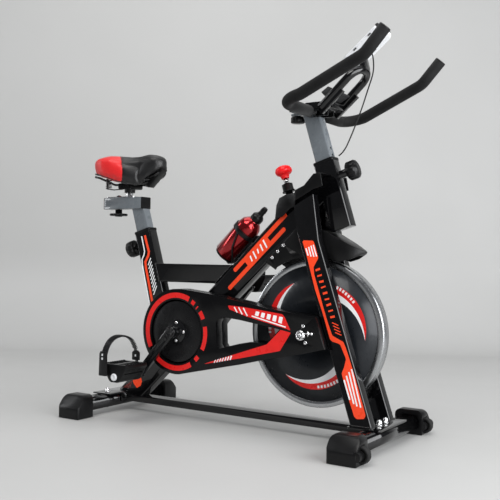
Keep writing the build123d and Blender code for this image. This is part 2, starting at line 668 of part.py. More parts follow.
console_outline = RectangleRounded(CONSOLE_W, CONSOLE_L, CONSOLE_CORNER)
back = console_slab(console_outline, 0, -CONSOLE_DEPTH)
back = fillet([e for e in back.edges() if height_above(e, -CONSOLE_DEPTH) < 0.2], 7)
back -= console_slab(RectangleRounded(CONSOLE_W + 2, CONSOLE_L + 2, CONSOLE_CORNER), 0, -6)
back -= console_slab(RectangleRounded(CONSOLE_W - 6, CONSOLE_L - 6, 13), -6, -10.5)
back -= cylinder(console.at3(1, -10), console.at3(1, -40), 4)
save("console_back", back)

bezel = console_slab(console_outline, -5.95, 5.95)
bezel = fillet([e for e in bezel.edges() if abs(height_above(e, 0)) < 0.1], 2.5)
bezel -= console_slab(RectangleRounded(68, 56, 5), -2.2, 3, SCREEN_Y)
bezel -= console_slab(RectangleRounded(60, 48, 4), -7, 8, SCREEN_Y)
bezel -= console_slab(SlotOverall(30.6, 14.6), -7, 8, BUTTON_Y)
save("console_bezel", bezel)
save("console_lens", console_slab(RectangleRounded(67.6, 55.6, 4.8), -2.15, 1.9, SCREEN_Y))
save("mode_button", console_slab(SlotOverall(30.0, 14.0), -5.5, 7.3, BUTTON_Y)
     + console_slab(SlotOverall(36, 20), -10, 2.5, BUTTON_Y)
     + console_slab(SlotOverall(26, 10), -8, 3, BUTTON_Y))

# cable from the console back down to the head tube, as (X, Z)
CABLE = [(326.5, 1008), (326.5, 982), (315, 943), (296, 889), (276, 840), (258, 800),
         (240, 772), (229, 763.5)]
cable = Spline(console.at3(1, -13), console.at3(1, -23), *[(x, 0, z) for x, z in CABLE])
save("console_cable", pipe(cable, 1.8))

# ---------------------------------------------------------------------------
# 6  cranks, pulley, belt, pedals
# ---------------------------------------------------------------------------
CRANK_Y = 120.0                             # mid plane of the crank arms
ARM_HALF = 6.5
CRANK_BORE = 8.55
PULLEY_R, HUB_PULLEY_R = 92.0, 30.0
PEDAL_RIGHT, PEDAL_LEFT = [tuple(c + sign * CRANK_LENGTH * d for c, d in zip(CRANK, CRANK_DIR))
                           for sign in (1, -1)]

save("crank_spindles", y_cylinder(CRANK, -127.5, 127.5, 8.5),
     y_cylinder(PEDAL_RIGHT, -114, -232, 6), y_cylinder(PEDAL_LEFT, 114, 232, 6))
save("bb_bearings", *[y_ring(CRANK, side * 24.1, side * 34.5, 19.9, 8.56) for side in SIDES])


def crank_arm(pedal_centre, side):
    run = (pedal_centre[0] - CRANK[0], pedal_centre[1] - CRANK[1])
    root, tip = Slant(CRANK, run), Slant(pedal_centre, run)
    arm = prism([root.at(6, 15), tip.at(2, 11), tip.at(2, -11), root.at(6, -15)],
                side * (CRANK_Y - ARM_HALF), side * (CRANK_Y + ARM_HALF))
    boss = y_cylinder(CRANK, side * 101, side * 128, 17)
    arm += chamfer(circle_edges(boss), 1.5)
    eye = y_cylinder(pedal_centre, side * (CRANK_Y - ARM_HALF - 0.5),
                     side * (CRANK_Y + ARM_HALF + 0.5), 13.5)
    arm += chamfer(circle_edges(eye), 1.2)
    arm -= y_cylinder(CRANK, side * 90, side * 127.6, CRANK_BORE)
    arm -= y_cylinder(pedal_centre, side * 100, side * 128, 6.05)
    # shallow groove along the outer face
    arm -= prism([root.at(30, 5), root.at(140, 4), root.at(140, -4), root.at(30, -5)],
                 side * (CRANK_Y + 5), side * (CRANK_Y + 9), 3)
    return arm


# the right arm has a stepped flange that carries the pulley
PULLEY_SCREWS = [on_circle(CRANK, 26, a) for a in (0, math.pi / 2, math.pi, -math.pi / 2)]
right_arm = crank_arm(PEDAL_RIGHT, -1)
right_arm += y_ring(CRANK, -101.2, -93.1, 20, CRANK_BORE)
right_arm += y_ring(CRANK, -96.5, -93.1, 33, CRANK_BORE)
for c in PULLEY_SCREWS:
    right_arm -= y_cylinder(c, -100, -90, 2.6)
save("crank_arm_right", right_arm)
save("crank_arm_left", crank_arm(PEDAL_LEFT, 1))


def pulley_screw(centre):
    dome = Sphere(6) & Pos(0, 0, 8) * Box(20, 20, 10)
    return (y_cylinder(centre, -96.6, -88, 2.5)
            + Pos(centre[0], -96.6, centre[1]) * Rot(90, 0, 0) * Pos(0, 0, -3.0) * dome)


def crank_cap(side):
    return chamfer(circle_edges(y_cylinder(CRANK, side * 128.1, side * 130.5, 12)), 0.8)


save("crank_bolts", *[pulley_screw(c) for c in PULLEY_SCREWS],
     *[crank_cap(side) for side in SIDES])


def cut_belt_grooves(body, centre, radius):
    for i in range(5):
        y = -54.8 + i * 2.5
        body -= y_ring(centre, y, y + 1.2, radius + 1, radius - 1.2)
    return body


pulley = (y_cylinder(CRANK, -58, -42, PULLEY_R) + y_cylinder(CRANK, -93, -57, 88.5)
          - y_cylinder(CRANK, -89.5, -40, 84.5))
pulley += y_ring(CRANK, -93, -38.6, 16, CRANK_BORE)
for i in range(6):
    pulley += (Pos(CRANK[0], -66, CRANK[1]) * Rot(0, -60 * i, 0) * Pos(51, 0, 0)
               * Box(72, 48, 3))
pulley = cut_belt_grooves(pulley, CRANK, PULLEY_R)
pulley -= y_cylinder(CRANK, -100, -30, CRANK_BORE)
for c in PULLEY_SCREWS:
    pulley -= y_cylinder(c, -100, -86, 2.6)
save("drive_pulley", pulley)
save("drive_belt",
     circle_hull(CRANK, PULLEY_R + 3.6, HUB, HUB_PULLEY_R + 3.6, -56.5, -43.5)
     - circle_hull(CRANK, PULLEY_R + 0.5, HUB, HUB_PULLEY_R + 0.5, -60, -40))

# pedal body outline and strap centre line, both relative to the pedal axis
PEDAL_BODY = [(-42, 36), (42, 36), (42, 27), (20, -10), (12, -15), (-12, -15), (-20, -10),
              (-42, 27)]
STRAP = [(-33, 238.5, 8), (-33, 240.5, 60), (-27, 222, 101), (-22, 188, 113),
         (-12, 152, 99), (-5, 136.5, 64), (-3, 134.5, 42), (-2, 134.4, 20)]   # X, outward Y, Z


def pedal(centre, side):
    x, z = centre
    y0, y1 = sorted((side * PEDAL_Y0, side * PEDAL_Y1))
    body = prism([(x + dx, z + dz) for dx, dz in PEDAL_BODY], y0, y1)
    body = fillet(body.edges().filter_by(Axis.Y), 3)
    # pockets in the top of the platform, crossed by three ribs
    for end in SIDES:
        body -= box(x + end * 8, x + end * 33, y0 + 9, y1 - 9, z + 8, z + 40)
    for i in (-1, 0, 1):
        y = (y0 + y1) / 2 + i * 22
        body += box(x - 38, x + 38, y - 2.5, y + 2.5, z + 18, z + 34)
    # rows of teeth along the rear and front edges
    for i in range(9):
        y = y0 + 8 + i * (y1 - y0 - 16) / 8
        body += (box(x - 41, x - 36, y - 2, y + 2, z + 35, z + 38.5)
                 + box(x + 36, x + 41, y - 2, y + 2, z + 35, z + 38.5))
    body -= y_cylinder(centre, side * (PEDAL_Y0 - 2), side * 232.3, AXLE_BORE)
    return body


def toe_strap(centre, side):
    path = Spline(*[(centre[0] + dx, side * y, centre[1] + dz) for dx, y, dz in STRAP])
    plane = Plane(origin=path @ 0, x_dir=(1, 0, 0), z_dir=path % 0)
    return sweep(plane * Rectangle(21, 2.2), path=path)


for name, centre, side in (("right", PEDAL_RIGHT, -1), ("left", PEDAL_LEFT, 1)):
    save(f"pedal_{name}", pedal(centre, side))
    save(f"toe_strap_{name}", toe_strap(centre, side))

# ---------------------------------------------------------------------------
# 7  flywheel, covers, bearings, axle, nuts and tensioner
# ---------------------------------------------------------------------------
flywheel = y_ring(HUB, -RIM_W / 2, RIM_W / 2, FLYWHEEL_R, 184.2)
flywheel = chamfer(circle_edges(flywheel), 1.2)
flywheel += y_ring(HUB, -15, 15, 185, 175)
flywheel += y_ring(HUB, -3, 3, 176, 10)
flywheel += y_cylinder(HUB, -42, 30, 22) + y_cylinder(HUB, -58, -42, HUB_PULLEY_R)
flywheel -= (y_cylinder(HUB, -60, 40, 10) + y_cylinder(HUB, -60, -47, 16)
             + y_cylinder(HUB, 19, 31, 16))
save("flywheel", cut_belt_grooves(flywheel, HUB, HUB_PULLEY_R))
save("flywheel_covers", *[y_ring(HUB, side * 15.1, side * 17.3, 184.0, 22.3) for side in SIDES])
save("hub_bearings", y_ring(HUB, -57.5, -47.1, 15.95, AXLE_BORE),
     y_ring(HUB, 19.1, 29.5, 15.95, AXLE_BORE))
save("flywheel_axle", y_cylinder(HUB, -105, 82, AXLE_R))

NUT_BORE = 6.05


def axle_nut(y0, y1, radius):
    y0, y1 = sorted((y0, y1))
    plane = Plane(origin=(HUB[0], y1, HUB[1]), x_dir=(1, 0, 0), z_dir=(0, -1, 0))
    nut = extrude(plane * RegularPolygon(radius, 6), amount=y1 - y0)
    return nut - y_cylinder(HUB, y0 - 1, y1 + 1, NUT_BORE)


def tensioner():
    """Screw with its head to the front, through an upright plate."""
    y, z = -102.2, HUB[1] + 6
    screw = (cylinder((HUB[0] + 15.0, y, z), (HUB[0] + 37, y, z), 2.4)
             + cylinder((HUB[0] + 34, y, z), (HUB[0] + 39, y, z), 4.4))
    return screw + box(HUB[0] + 25, HUB[0] + 28, -107, -97.5, HUB[1] - 1, HUB[1] + 13)


AXLE_SPACERS = ((-94.0, -76.1), (-61.9, -58.6), (31.0, 61.9))     # Y limits
save("nuts_and_tensioner", *[dome_nut(*place) for place in REAR_BOLTS + FRONT_BOLTS],
     axle_nut(-68.05, -76, 10), axle_nut(68.05, 76, 10.5),
     *[y_ring(HUB, y0, y1, 9, NUT_BORE) for y0, y1 in AXLE_SPACERS],
     y_ring(HUB, -100.0, -94.05, 13.5, NUT_BORE) + y_ring(HUB, -104, -99, 11.5, 8.5),
     tensioner())

# ---------------------------------------------------------------------------
# 8  belt guard and panel screws
# ---------------------------------------------------------------------------
GUARD_INNER_Y, GUARD_SPLIT_Y, GUARD_OUTER_Y = -38.0, -68.0, -97.4
GUARD_R, GUARD_WALL = 124.0, 2.5
# arc round the crank axis, then the arm that reaches forwards past the hub
GUARD = [on_circle(CRANK, GUARD_R, math.radians(a)) for a in range(84, 277, 6)] + [
    (-161, 158), (-18, 189), (54, 207), (182, 234), (243.5, 250), (214, 332), (82, 345),
    (-21, 363), (-136, 380)]
WINDOW = [(-100, 299), (-93, 311), (-73, 317), (-19, 312), (108, 294), (87, 272), (66, 252),
          (16, 254), (-18, 247), (-63, 235), (-89, 228), (-97, 239)]
GUARD_POSTS = ([on_circle(CRANK, 107, a) for a in (2.2, 4.0, 3.1)]
               + [(30.0, 209.5), (30.0, 341.0)])


def inset(points, distance):
    """Polygon with every edge moved inwards (outwards if negative)."""
    area = sum(p[0] * q[1] - q[0] * p[1] for p, q in zip(points, points[1:] + points[:1]))
    turn = 1 if area > 0 else -1
    out = []
    for i, (x, z) in enumerate(points):
        before, after = points[i - 1], points[(i + 1) % len(points)]
        u1, u2 = unit(x - before[0], z - before[1]), unit(after[0] - x, after[1] - z)
        n1, n2 = (-u1[1] * turn, u1[0] * turn), (-u2[1] * turn, u2[0] * turn)
        scale_by = 1 + n1[0] * n2[0] + n1[1] * n2[1]
        out.append((x + distance * (n1[0] + n2[0]) / scale_by,
                    z + distance * (n1[1] + n2[1]) / scale_by))
    return out


def guard_prism(shrink, y0, y1):
    return prism(inset(GUARD, shrink), y0, y1)


def window_prism(grow, y0, y1):
    return prism(inset(WINDOW, -grow), y0, y1)


def guard_outer():
    outer, split, wall = GUARD_OUTER_Y, GUARD_SPLIT_Y, GUARD_WALL
    guard = guard_prism(0, outer, split) - guard_prism(wall, outer + wall, split + 1)
    guard += window_prism(wall, outer + wall - 0.5, split) & guard_prism(0, outer, split)
    guard -= window_prism(0, outer - 1, split + 1)
    # rimmed crank opening, axle hole and notch for the fork leg
    guard -= y_cylinder(CRANK, outer - 1, -90, 93.5)
    guard += y_ring(CRANK, outer, -86, 96, 93.5)
    guard -= y_cylinder(HUB, -100, -90, 14.5)
    guard -= box(196, 262, -75, -55, 246, 322)
    for c in FORK_SCREWS:
        guard -= y_cylinder(c, -99, -90, 2.6)
    for c in GUARD_POSTS:
        guard += y_cylinder(c, outer + 1, -40.6, 4.2)
        guard -= y_cylinder(c, -52, -40, 1.55)
    return guard


def guard_inner():
    inner, split, wall = GUARD_INNER_Y, GUARD_SPLIT_Y, GUARD_WALL
    guard = guard_prism(0, split + 0.05, inner) - guard_prism(wall, split - 1, inner - wall)
    guard += (window_prism(wall, split + 0.05, inner - wall + 0.5)
              & guard_prism(0, split, inner))
    guard -= window_prism(0, split - 1, inner + 1)
    guard -= y_cylinder(CRANK, -45, -30, 22)
    guard -= y_cylinder(HUB, -45, -30, 34)
    guard -= box(196, 262, -75, -42, 246, 322)
    for places, radius in ((GUARD_POSTS, 1.8), (GUARD_LUGS, 2.6)):
        for c in places:
            guard -= y_cylinder(c, -45, -30, radius)
    return guard


def pan_screw(centre, y, outward, length, radius, head_r, head_h=2.6):
    """Pan-head screw: head outside y, shank running the other way."""
    top = y + outward * head_h
    screw = y_cylinder(centre, y, top, head_r)
    screw = chamfer([e for e in circle_edges(screw) if abs(e.center().Y - top) < 0.01], 1.0)
    screw += y_cylinder(centre, y + outward * 0.1, y - outward * length, radius)
    return screw


save("belt_guard_outer", guard_outer())
save("belt_guard_inner", guard_inner())

screws = [pan_screw(c, GUARD_OUTER_Y - 0.02, -1, 12, 2.0, 4.8) for c in FORK_SCREWS]
screws += [pan_screw(c, GUARD_INNER_Y + 0.02, 1, 9, 1.5, 3.6, 2.2) for c in GUARD_POSTS]
screws += [y_cylinder(c, -41.75, -40.55, 4.3) + y_cylinder(c, -41, -26, 2.0)
           for c in GUARD_LUGS]
screws += [pan_screw(c, side * 38.02, side, 9, 2.0, 4.8)
           for c in FENDER_SCREWS for side in SIDES]
screws += [cylinder(cage_axis.at3(s, 11.15), cage_axis.at3(s, 13.1), 4.5)
           + cylinder(cage_axis.at3(s, 0), cage_axis.at3(s, 12), 2.0) for s in CAGE_SCREWS]
save("panel_screws", *screws)

# ---------------------------------------------------------------------------
# 9  shroud over the crown, fender over the flywheel
# Each is a side view crossed with a plan view, less a smaller pair of the same.
# Side views are (X, Z), plan views (X, half width).
# ---------------------------------------------------------------------------
SHROUD_SIDE = [(46, 594), (50, 632), (60, 652), (82, 661), (140, 668), (166, 679), (194, 709),
               (215, 712), (222, 676), (194, 668), (128, 633), (98, 622), (72, 600)]
SHROUD_PLAN = [(40, 25), (112, 34), (140, 80), (230, 80)]
SHROUD_SIDE_IN = [(48.5, 590), (52.6, 631), (62, 650), (83, 658.4), (140, 665.4),
                  (167.5, 676.5), (196, 706.4), (219, 709), (226, 660), (194, 640), (128, 600),
                  (98, 580), (72, 570)]
SHROUD_PLAN_IN = [(40, 22.5), (113, 31.5), (141.5, 77.5), (228, 77.5)]
LEG_CLEARANCE = [(134, 640), (191, 670), (212, 532), (148, 532)]

shroud = prism(SHROUD_SIDE, -81, 81) & plan_prism(SHROUD_PLAN, 560, 740)
shroud -= prism(SHROUD_SIDE_IN, -82, 82) & plan_prism(SHROUD_PLAN_IN, 540, 740)
shroud -= rect_bar(diag(0), diag(200.0), DIAG_H + 1.0, TUBE_W + 1.0, 0)
shroud -= rect_bar(head.at(10), head.at(-200), 61, 41, 0)
shroud -= cylinder(brake.at3(-60), brake.at3(40), 11.0)
shroud -= prism(LEG_CLEARANCE, -76, -44) + prism(LEG_CLEARANCE, 44, 76)
save("shroud", largest(shroud))

WHEEL_ARC = [on_circle(HUB, 208.5, math.radians(a)) for a in range(74, 123, 8)]
FENDER_SIDE = [(22, 474), (126, 571.8), (206, 561), (314, 504), (310, 499), (281, 485),
               (252, 477)] + WHEEL_ARC + [(58, 452)]
FENDER_PLAN = [(10, 38), (232, 38), (276, 31), (306, 15), (316, 5)]
FENDER_SIDE_IN = [(24.5, 473), (127, 569.3), (205, 558.4), (307, 504.5), (290, 480),
                  (250, 400), (60, 400), (20, 440)]
FENDER_PLAN_IN = [(0, 35.5), (231, 35.5), (275, 28.6), (304, 12), (311, 4)]

fender = prism(FENDER_SIDE, -38, 38) & plan_prism(FENDER_PLAN, 400, 620)
fender -= prism(FENDER_SIDE_IN, -40, 40) & plan_prism(FENDER_PLAN_IN, 380, 640)
fender -= cylinder(brake.at3(-100), brake.at3(-260), 11.5)
for c in FENDER_SCREWS:
    fender -= y_cylinder(c, -40, -35.4, 2.4) + y_cylinder(c, 35.4, 40, 2.4)
fender -= rect_bar(diag(-60), diag(180), DIAG_H + 1, 60, 0)
fender -= fender_web_prism(2, 4)
save("fender", largest(fender))

# ---------------------------------------------------------------------------
# 10  brake
# ---------------------------------------------------------------------------
BRAKE_KNOB = [(0, 0), (11, 0), (11.5, 4), (14, 10), (21, 14), (24, 19), (24, 25), (21, 32),
              (14, 36.5), (6, 38.2), (0, 38.5)]      # radius, height
knob_plane = Plane(origin=brake.at3(24), z_dir=(brake.along[0], 0, brake.along[1]))
save("brake_knob", turned(knob_plane, BRAKE_KNOB) - cylinder(brake.at3(20), brake.at3(42), 4.6))
save("brake_rod", cylinder(brake.at3(40.5), brake.at3(-188), 4.5)
     + cylinder(brake.at3(14.5), brake.at3(20), 8))
save("brake_sleeve", ring(brake.at3(-41), brake.at3(9.5), 10.4, 5.0)
     + ring(brake.at3(-12), brake.at3(7), 15.5, 5.0)
     + ring(brake.at3(-15), brake.at3(-12), 18, 5.0))
springs.append(coil(brake.at3(10.4), brake.at3(11.5), 6.4, 0.4, 1.2))
save("pin_and_brake_springs", *springs)


def sector(inner_r, outer_r, start, end, half):
    """Ring sector about the hub between two angles in degrees."""
    steps = 8
    sweep_by = (end - start) / steps
    outer = [on_circle(HUB, outer_r, math.radians(start + sweep_by * i))
             for i in range(steps + 1)]
    inner = [on_circle(HUB, inner_r, math.radians(end - sweep_by * i))
             for i in range(steps + 1)]
    return prism(outer + inner, -half, half)


socket = cylinder(brake.at3(-200), brake.at3(-178), 9) - y_cylinder(HUB, -20, 20, 219)
holder = sector(215.6, 222, 95.5, 112.5, 13) + socket
holder -= cylinder(brake.at3(-188.2), brake.at3(-170), 4.56)
save("brake_pad_holder", holder)
save("brake_pad", sector(205.2, 215.4, 96.0, 112.0, 12))

# ---------------------------------------------------------------------------
# 11  bottle and cage; profiles are (radius, height)
# ---------------------------------------------------------------------------
BOTTLE = [(0, 0), (31, 0), (34, 3), (34, 112), (31, 124), (22, 135), (16.5, 139),
          (15.8, 150), (0, 150)]
BOTTLE_IN = [(0, 2), (32.6, 3.4), (32.6, 111.5), (29.8, 123), (20.8, 134), (14, 138.5),
             (14, 151), (0, 151)]
BOTTLE_CAP = [(0, 140), (17.0, 140), (18.2, 141.5), (18.2, 154), (16, 158), (10, 164),
              (8.5, 172), (9.5, 176), (8, 187), (6, 190), (0, 190)]
bottle_plane = Plane(origin=bottle_axis.at3(0),
                     z_dir=(bottle_axis.along[0], 0, bottle_axis.along[1]))

save("bottle", turned(bottle_plane, BOTTLE) - turned(bottle_plane, BOTTLE_IN))

cap = turned(bottle_plane, BOTTLE_CAP)
cap -= bottle_plane * Pos(0, 0, 144.6) * Cylinder(16.7, 11.2)
cap += bottle_plane * Pos(0, 0, 148) * Cylinder(13.8, 12)
save("bottle_cap", cap)

CAGE_W, CAGE_WIRE_R = 26, 2.6
BAND_S0, BAND_S1 = 88, 102          # band round the bottle
# back strip and its bend towards the bottle's foot
cage = rect_bar(cage_axis.at(4, 9.6), cage_axis.at(118, 9.6), 3.0, CAGE_W, 0)
cage += rect_bar(cage_axis.at(6, 9.6), cage_axis.at(-6.0, 17), 3.0, CAGE_W, 0)
band = Cylinder(38.0, BAND_S1 - BAND_S0) - Cylinder(34.8, BAND_S1 - BAND_S0 + 1)
cage += bottle_plane * Pos(0, 0, (BAND_S0 + BAND_S1) / 2) * band
cage += rect_bar(cage_axis.at(BAND_S0, 10), cage_axis.at(BAND_S1, 10), 5.0, CAGE_W, 0)
# ring under the bottle and the strip that joins it
cage += (bottle_plane * Pos(0, 0, -4.2) * (Cylinder(30, 3) - Cylinder(20, 4))
         & rect_bar(bottle_axis.at(-8), bottle_axis.at(0), 80, 80, 0))
cage += rect_bar(cage_axis.at(-6.0, 15.5), cage_axis.at(-6.0, 34), 3.2, CAGE_W, 0)
# side wires from the band to the foot of the strip
for side in SIDES:
    top = bottle_axis.at3(92, 0, side * 36.9)
    knee = bottle_axis.at3(48, -20, side * 36.6)
    bottom = cage_axis.at3(6, 10, side * 11)
    cage += (cylinder(top, knee, CAGE_WIRE_R) + cylinder(knee, bottom, CAGE_WIRE_R)
             + Pos(*knee) * Sphere(CAGE_WIRE_R))
# screw holes, room for the heads and for the bosses
for s in CAGE_SCREWS:
    cage -= (cylinder(cage_axis.at3(s, 7), cage_axis.at3(s, 14), 2.4)
             + cylinder(cage_axis.at3(s, 11.1), cage_axis.at3(s, 16), 5.0))
    cage -= cylinder(cage_axis.at3(s, -1), cage_axis.at3(s, 8.02), 7)
save("bottle_cage", largest(cage))
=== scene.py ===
"""Indoor exercise bike with a flywheel, belt guard, saddle and console.

Drawing coordinates are in mm: +X forward, +Y to the rider's left, +Z up from the floor.
place() turns them into the row frame, in metres.
"""
import json
import math
import random

import bmesh
import bpy
from mathutils import Matrix, Vector
from mathutils.geometry import tessellate_polygon
from mathutils.noise import noise as point_noise
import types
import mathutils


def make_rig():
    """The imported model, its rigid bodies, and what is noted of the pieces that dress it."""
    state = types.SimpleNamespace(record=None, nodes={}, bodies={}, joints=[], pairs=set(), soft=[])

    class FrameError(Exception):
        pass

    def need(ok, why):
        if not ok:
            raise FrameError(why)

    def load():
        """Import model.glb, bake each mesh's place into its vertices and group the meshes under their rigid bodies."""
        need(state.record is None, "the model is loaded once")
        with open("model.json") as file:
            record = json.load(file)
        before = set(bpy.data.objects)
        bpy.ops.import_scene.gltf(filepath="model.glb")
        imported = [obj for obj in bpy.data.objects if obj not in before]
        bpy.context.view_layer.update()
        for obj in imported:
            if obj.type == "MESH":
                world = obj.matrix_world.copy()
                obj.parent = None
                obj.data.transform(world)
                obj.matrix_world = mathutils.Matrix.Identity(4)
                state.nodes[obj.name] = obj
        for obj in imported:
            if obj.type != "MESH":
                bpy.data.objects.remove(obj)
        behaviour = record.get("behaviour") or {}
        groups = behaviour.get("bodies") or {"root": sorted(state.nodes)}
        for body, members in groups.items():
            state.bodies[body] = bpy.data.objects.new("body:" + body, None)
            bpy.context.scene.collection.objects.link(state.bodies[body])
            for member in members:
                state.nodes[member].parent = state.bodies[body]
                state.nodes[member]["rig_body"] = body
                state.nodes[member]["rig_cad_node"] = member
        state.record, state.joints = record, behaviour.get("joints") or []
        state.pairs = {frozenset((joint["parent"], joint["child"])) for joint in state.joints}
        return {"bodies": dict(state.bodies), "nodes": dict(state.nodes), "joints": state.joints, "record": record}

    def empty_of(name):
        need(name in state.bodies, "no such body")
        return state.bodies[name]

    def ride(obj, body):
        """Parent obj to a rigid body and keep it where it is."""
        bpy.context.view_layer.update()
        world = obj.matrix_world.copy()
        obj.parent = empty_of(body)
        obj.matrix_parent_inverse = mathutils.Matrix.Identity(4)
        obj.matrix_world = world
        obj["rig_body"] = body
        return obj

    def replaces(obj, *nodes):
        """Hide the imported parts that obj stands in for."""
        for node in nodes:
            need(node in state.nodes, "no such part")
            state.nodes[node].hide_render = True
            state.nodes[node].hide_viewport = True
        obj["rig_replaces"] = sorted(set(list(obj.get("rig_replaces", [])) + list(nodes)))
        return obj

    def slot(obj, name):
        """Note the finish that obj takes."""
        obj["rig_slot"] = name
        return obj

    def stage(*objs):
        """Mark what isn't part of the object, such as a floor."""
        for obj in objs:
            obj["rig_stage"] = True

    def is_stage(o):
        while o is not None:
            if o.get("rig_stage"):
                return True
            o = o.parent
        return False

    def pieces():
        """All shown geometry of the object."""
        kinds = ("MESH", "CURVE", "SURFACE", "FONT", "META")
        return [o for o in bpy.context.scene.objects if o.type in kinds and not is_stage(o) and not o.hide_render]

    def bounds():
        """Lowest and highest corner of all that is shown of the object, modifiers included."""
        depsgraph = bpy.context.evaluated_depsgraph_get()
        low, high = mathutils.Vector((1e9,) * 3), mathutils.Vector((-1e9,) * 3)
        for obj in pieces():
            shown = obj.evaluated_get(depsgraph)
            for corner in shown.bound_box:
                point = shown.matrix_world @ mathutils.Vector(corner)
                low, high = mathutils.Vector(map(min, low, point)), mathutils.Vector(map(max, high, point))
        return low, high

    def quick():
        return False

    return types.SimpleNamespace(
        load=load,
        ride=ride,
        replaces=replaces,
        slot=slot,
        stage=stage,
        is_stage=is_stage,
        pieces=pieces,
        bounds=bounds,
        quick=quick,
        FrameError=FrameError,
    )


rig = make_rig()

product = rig.load()
CAD_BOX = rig.bounds()
random.seed(7)
scene = bpy.context.scene

ROW_SHIFT = 88.21               # drawing frame to row frame along X, mm
SIDES = ((-1, "right"), (1, "left"))

# Centres seen from the side: (x, z)
HUB = (172.5, 282.3)            # flywheel
CRANK = (-241.1, 266.5)
CRANK_LENGTH = 170
CRANK_DIRECTION = (0.6632, 0.7484)      # towards the left pedal

# Side faces that carry printed films, distance from the middle plane
LEG_FACE = 75.0
TUBE_FACE = 20.0
GUARD_FACE = -97.4
FLYWHEEL_FACE = 17.3
FILM_THICKNESS = 0.22
FILM_LIFT = 0.05                # gap under a film
OVERPRINT = 0.24                # extra height of a film lying on another

CAMERA_YAW = 0.5711             # radians; the backdrop is turned by the same angle


def place(x, y, z):
    """Drawing coordinates in mm to row-frame metres."""
    return Vector(((x + ROW_SHIFT) / 1000, y / 1000, z / 1000))


def drawn(point):
    """Row-frame metres back to drawing coordinates in mm."""
    return (point.x * 1000 - ROW_SHIFT, point.y * 1000, point.z * 1000)


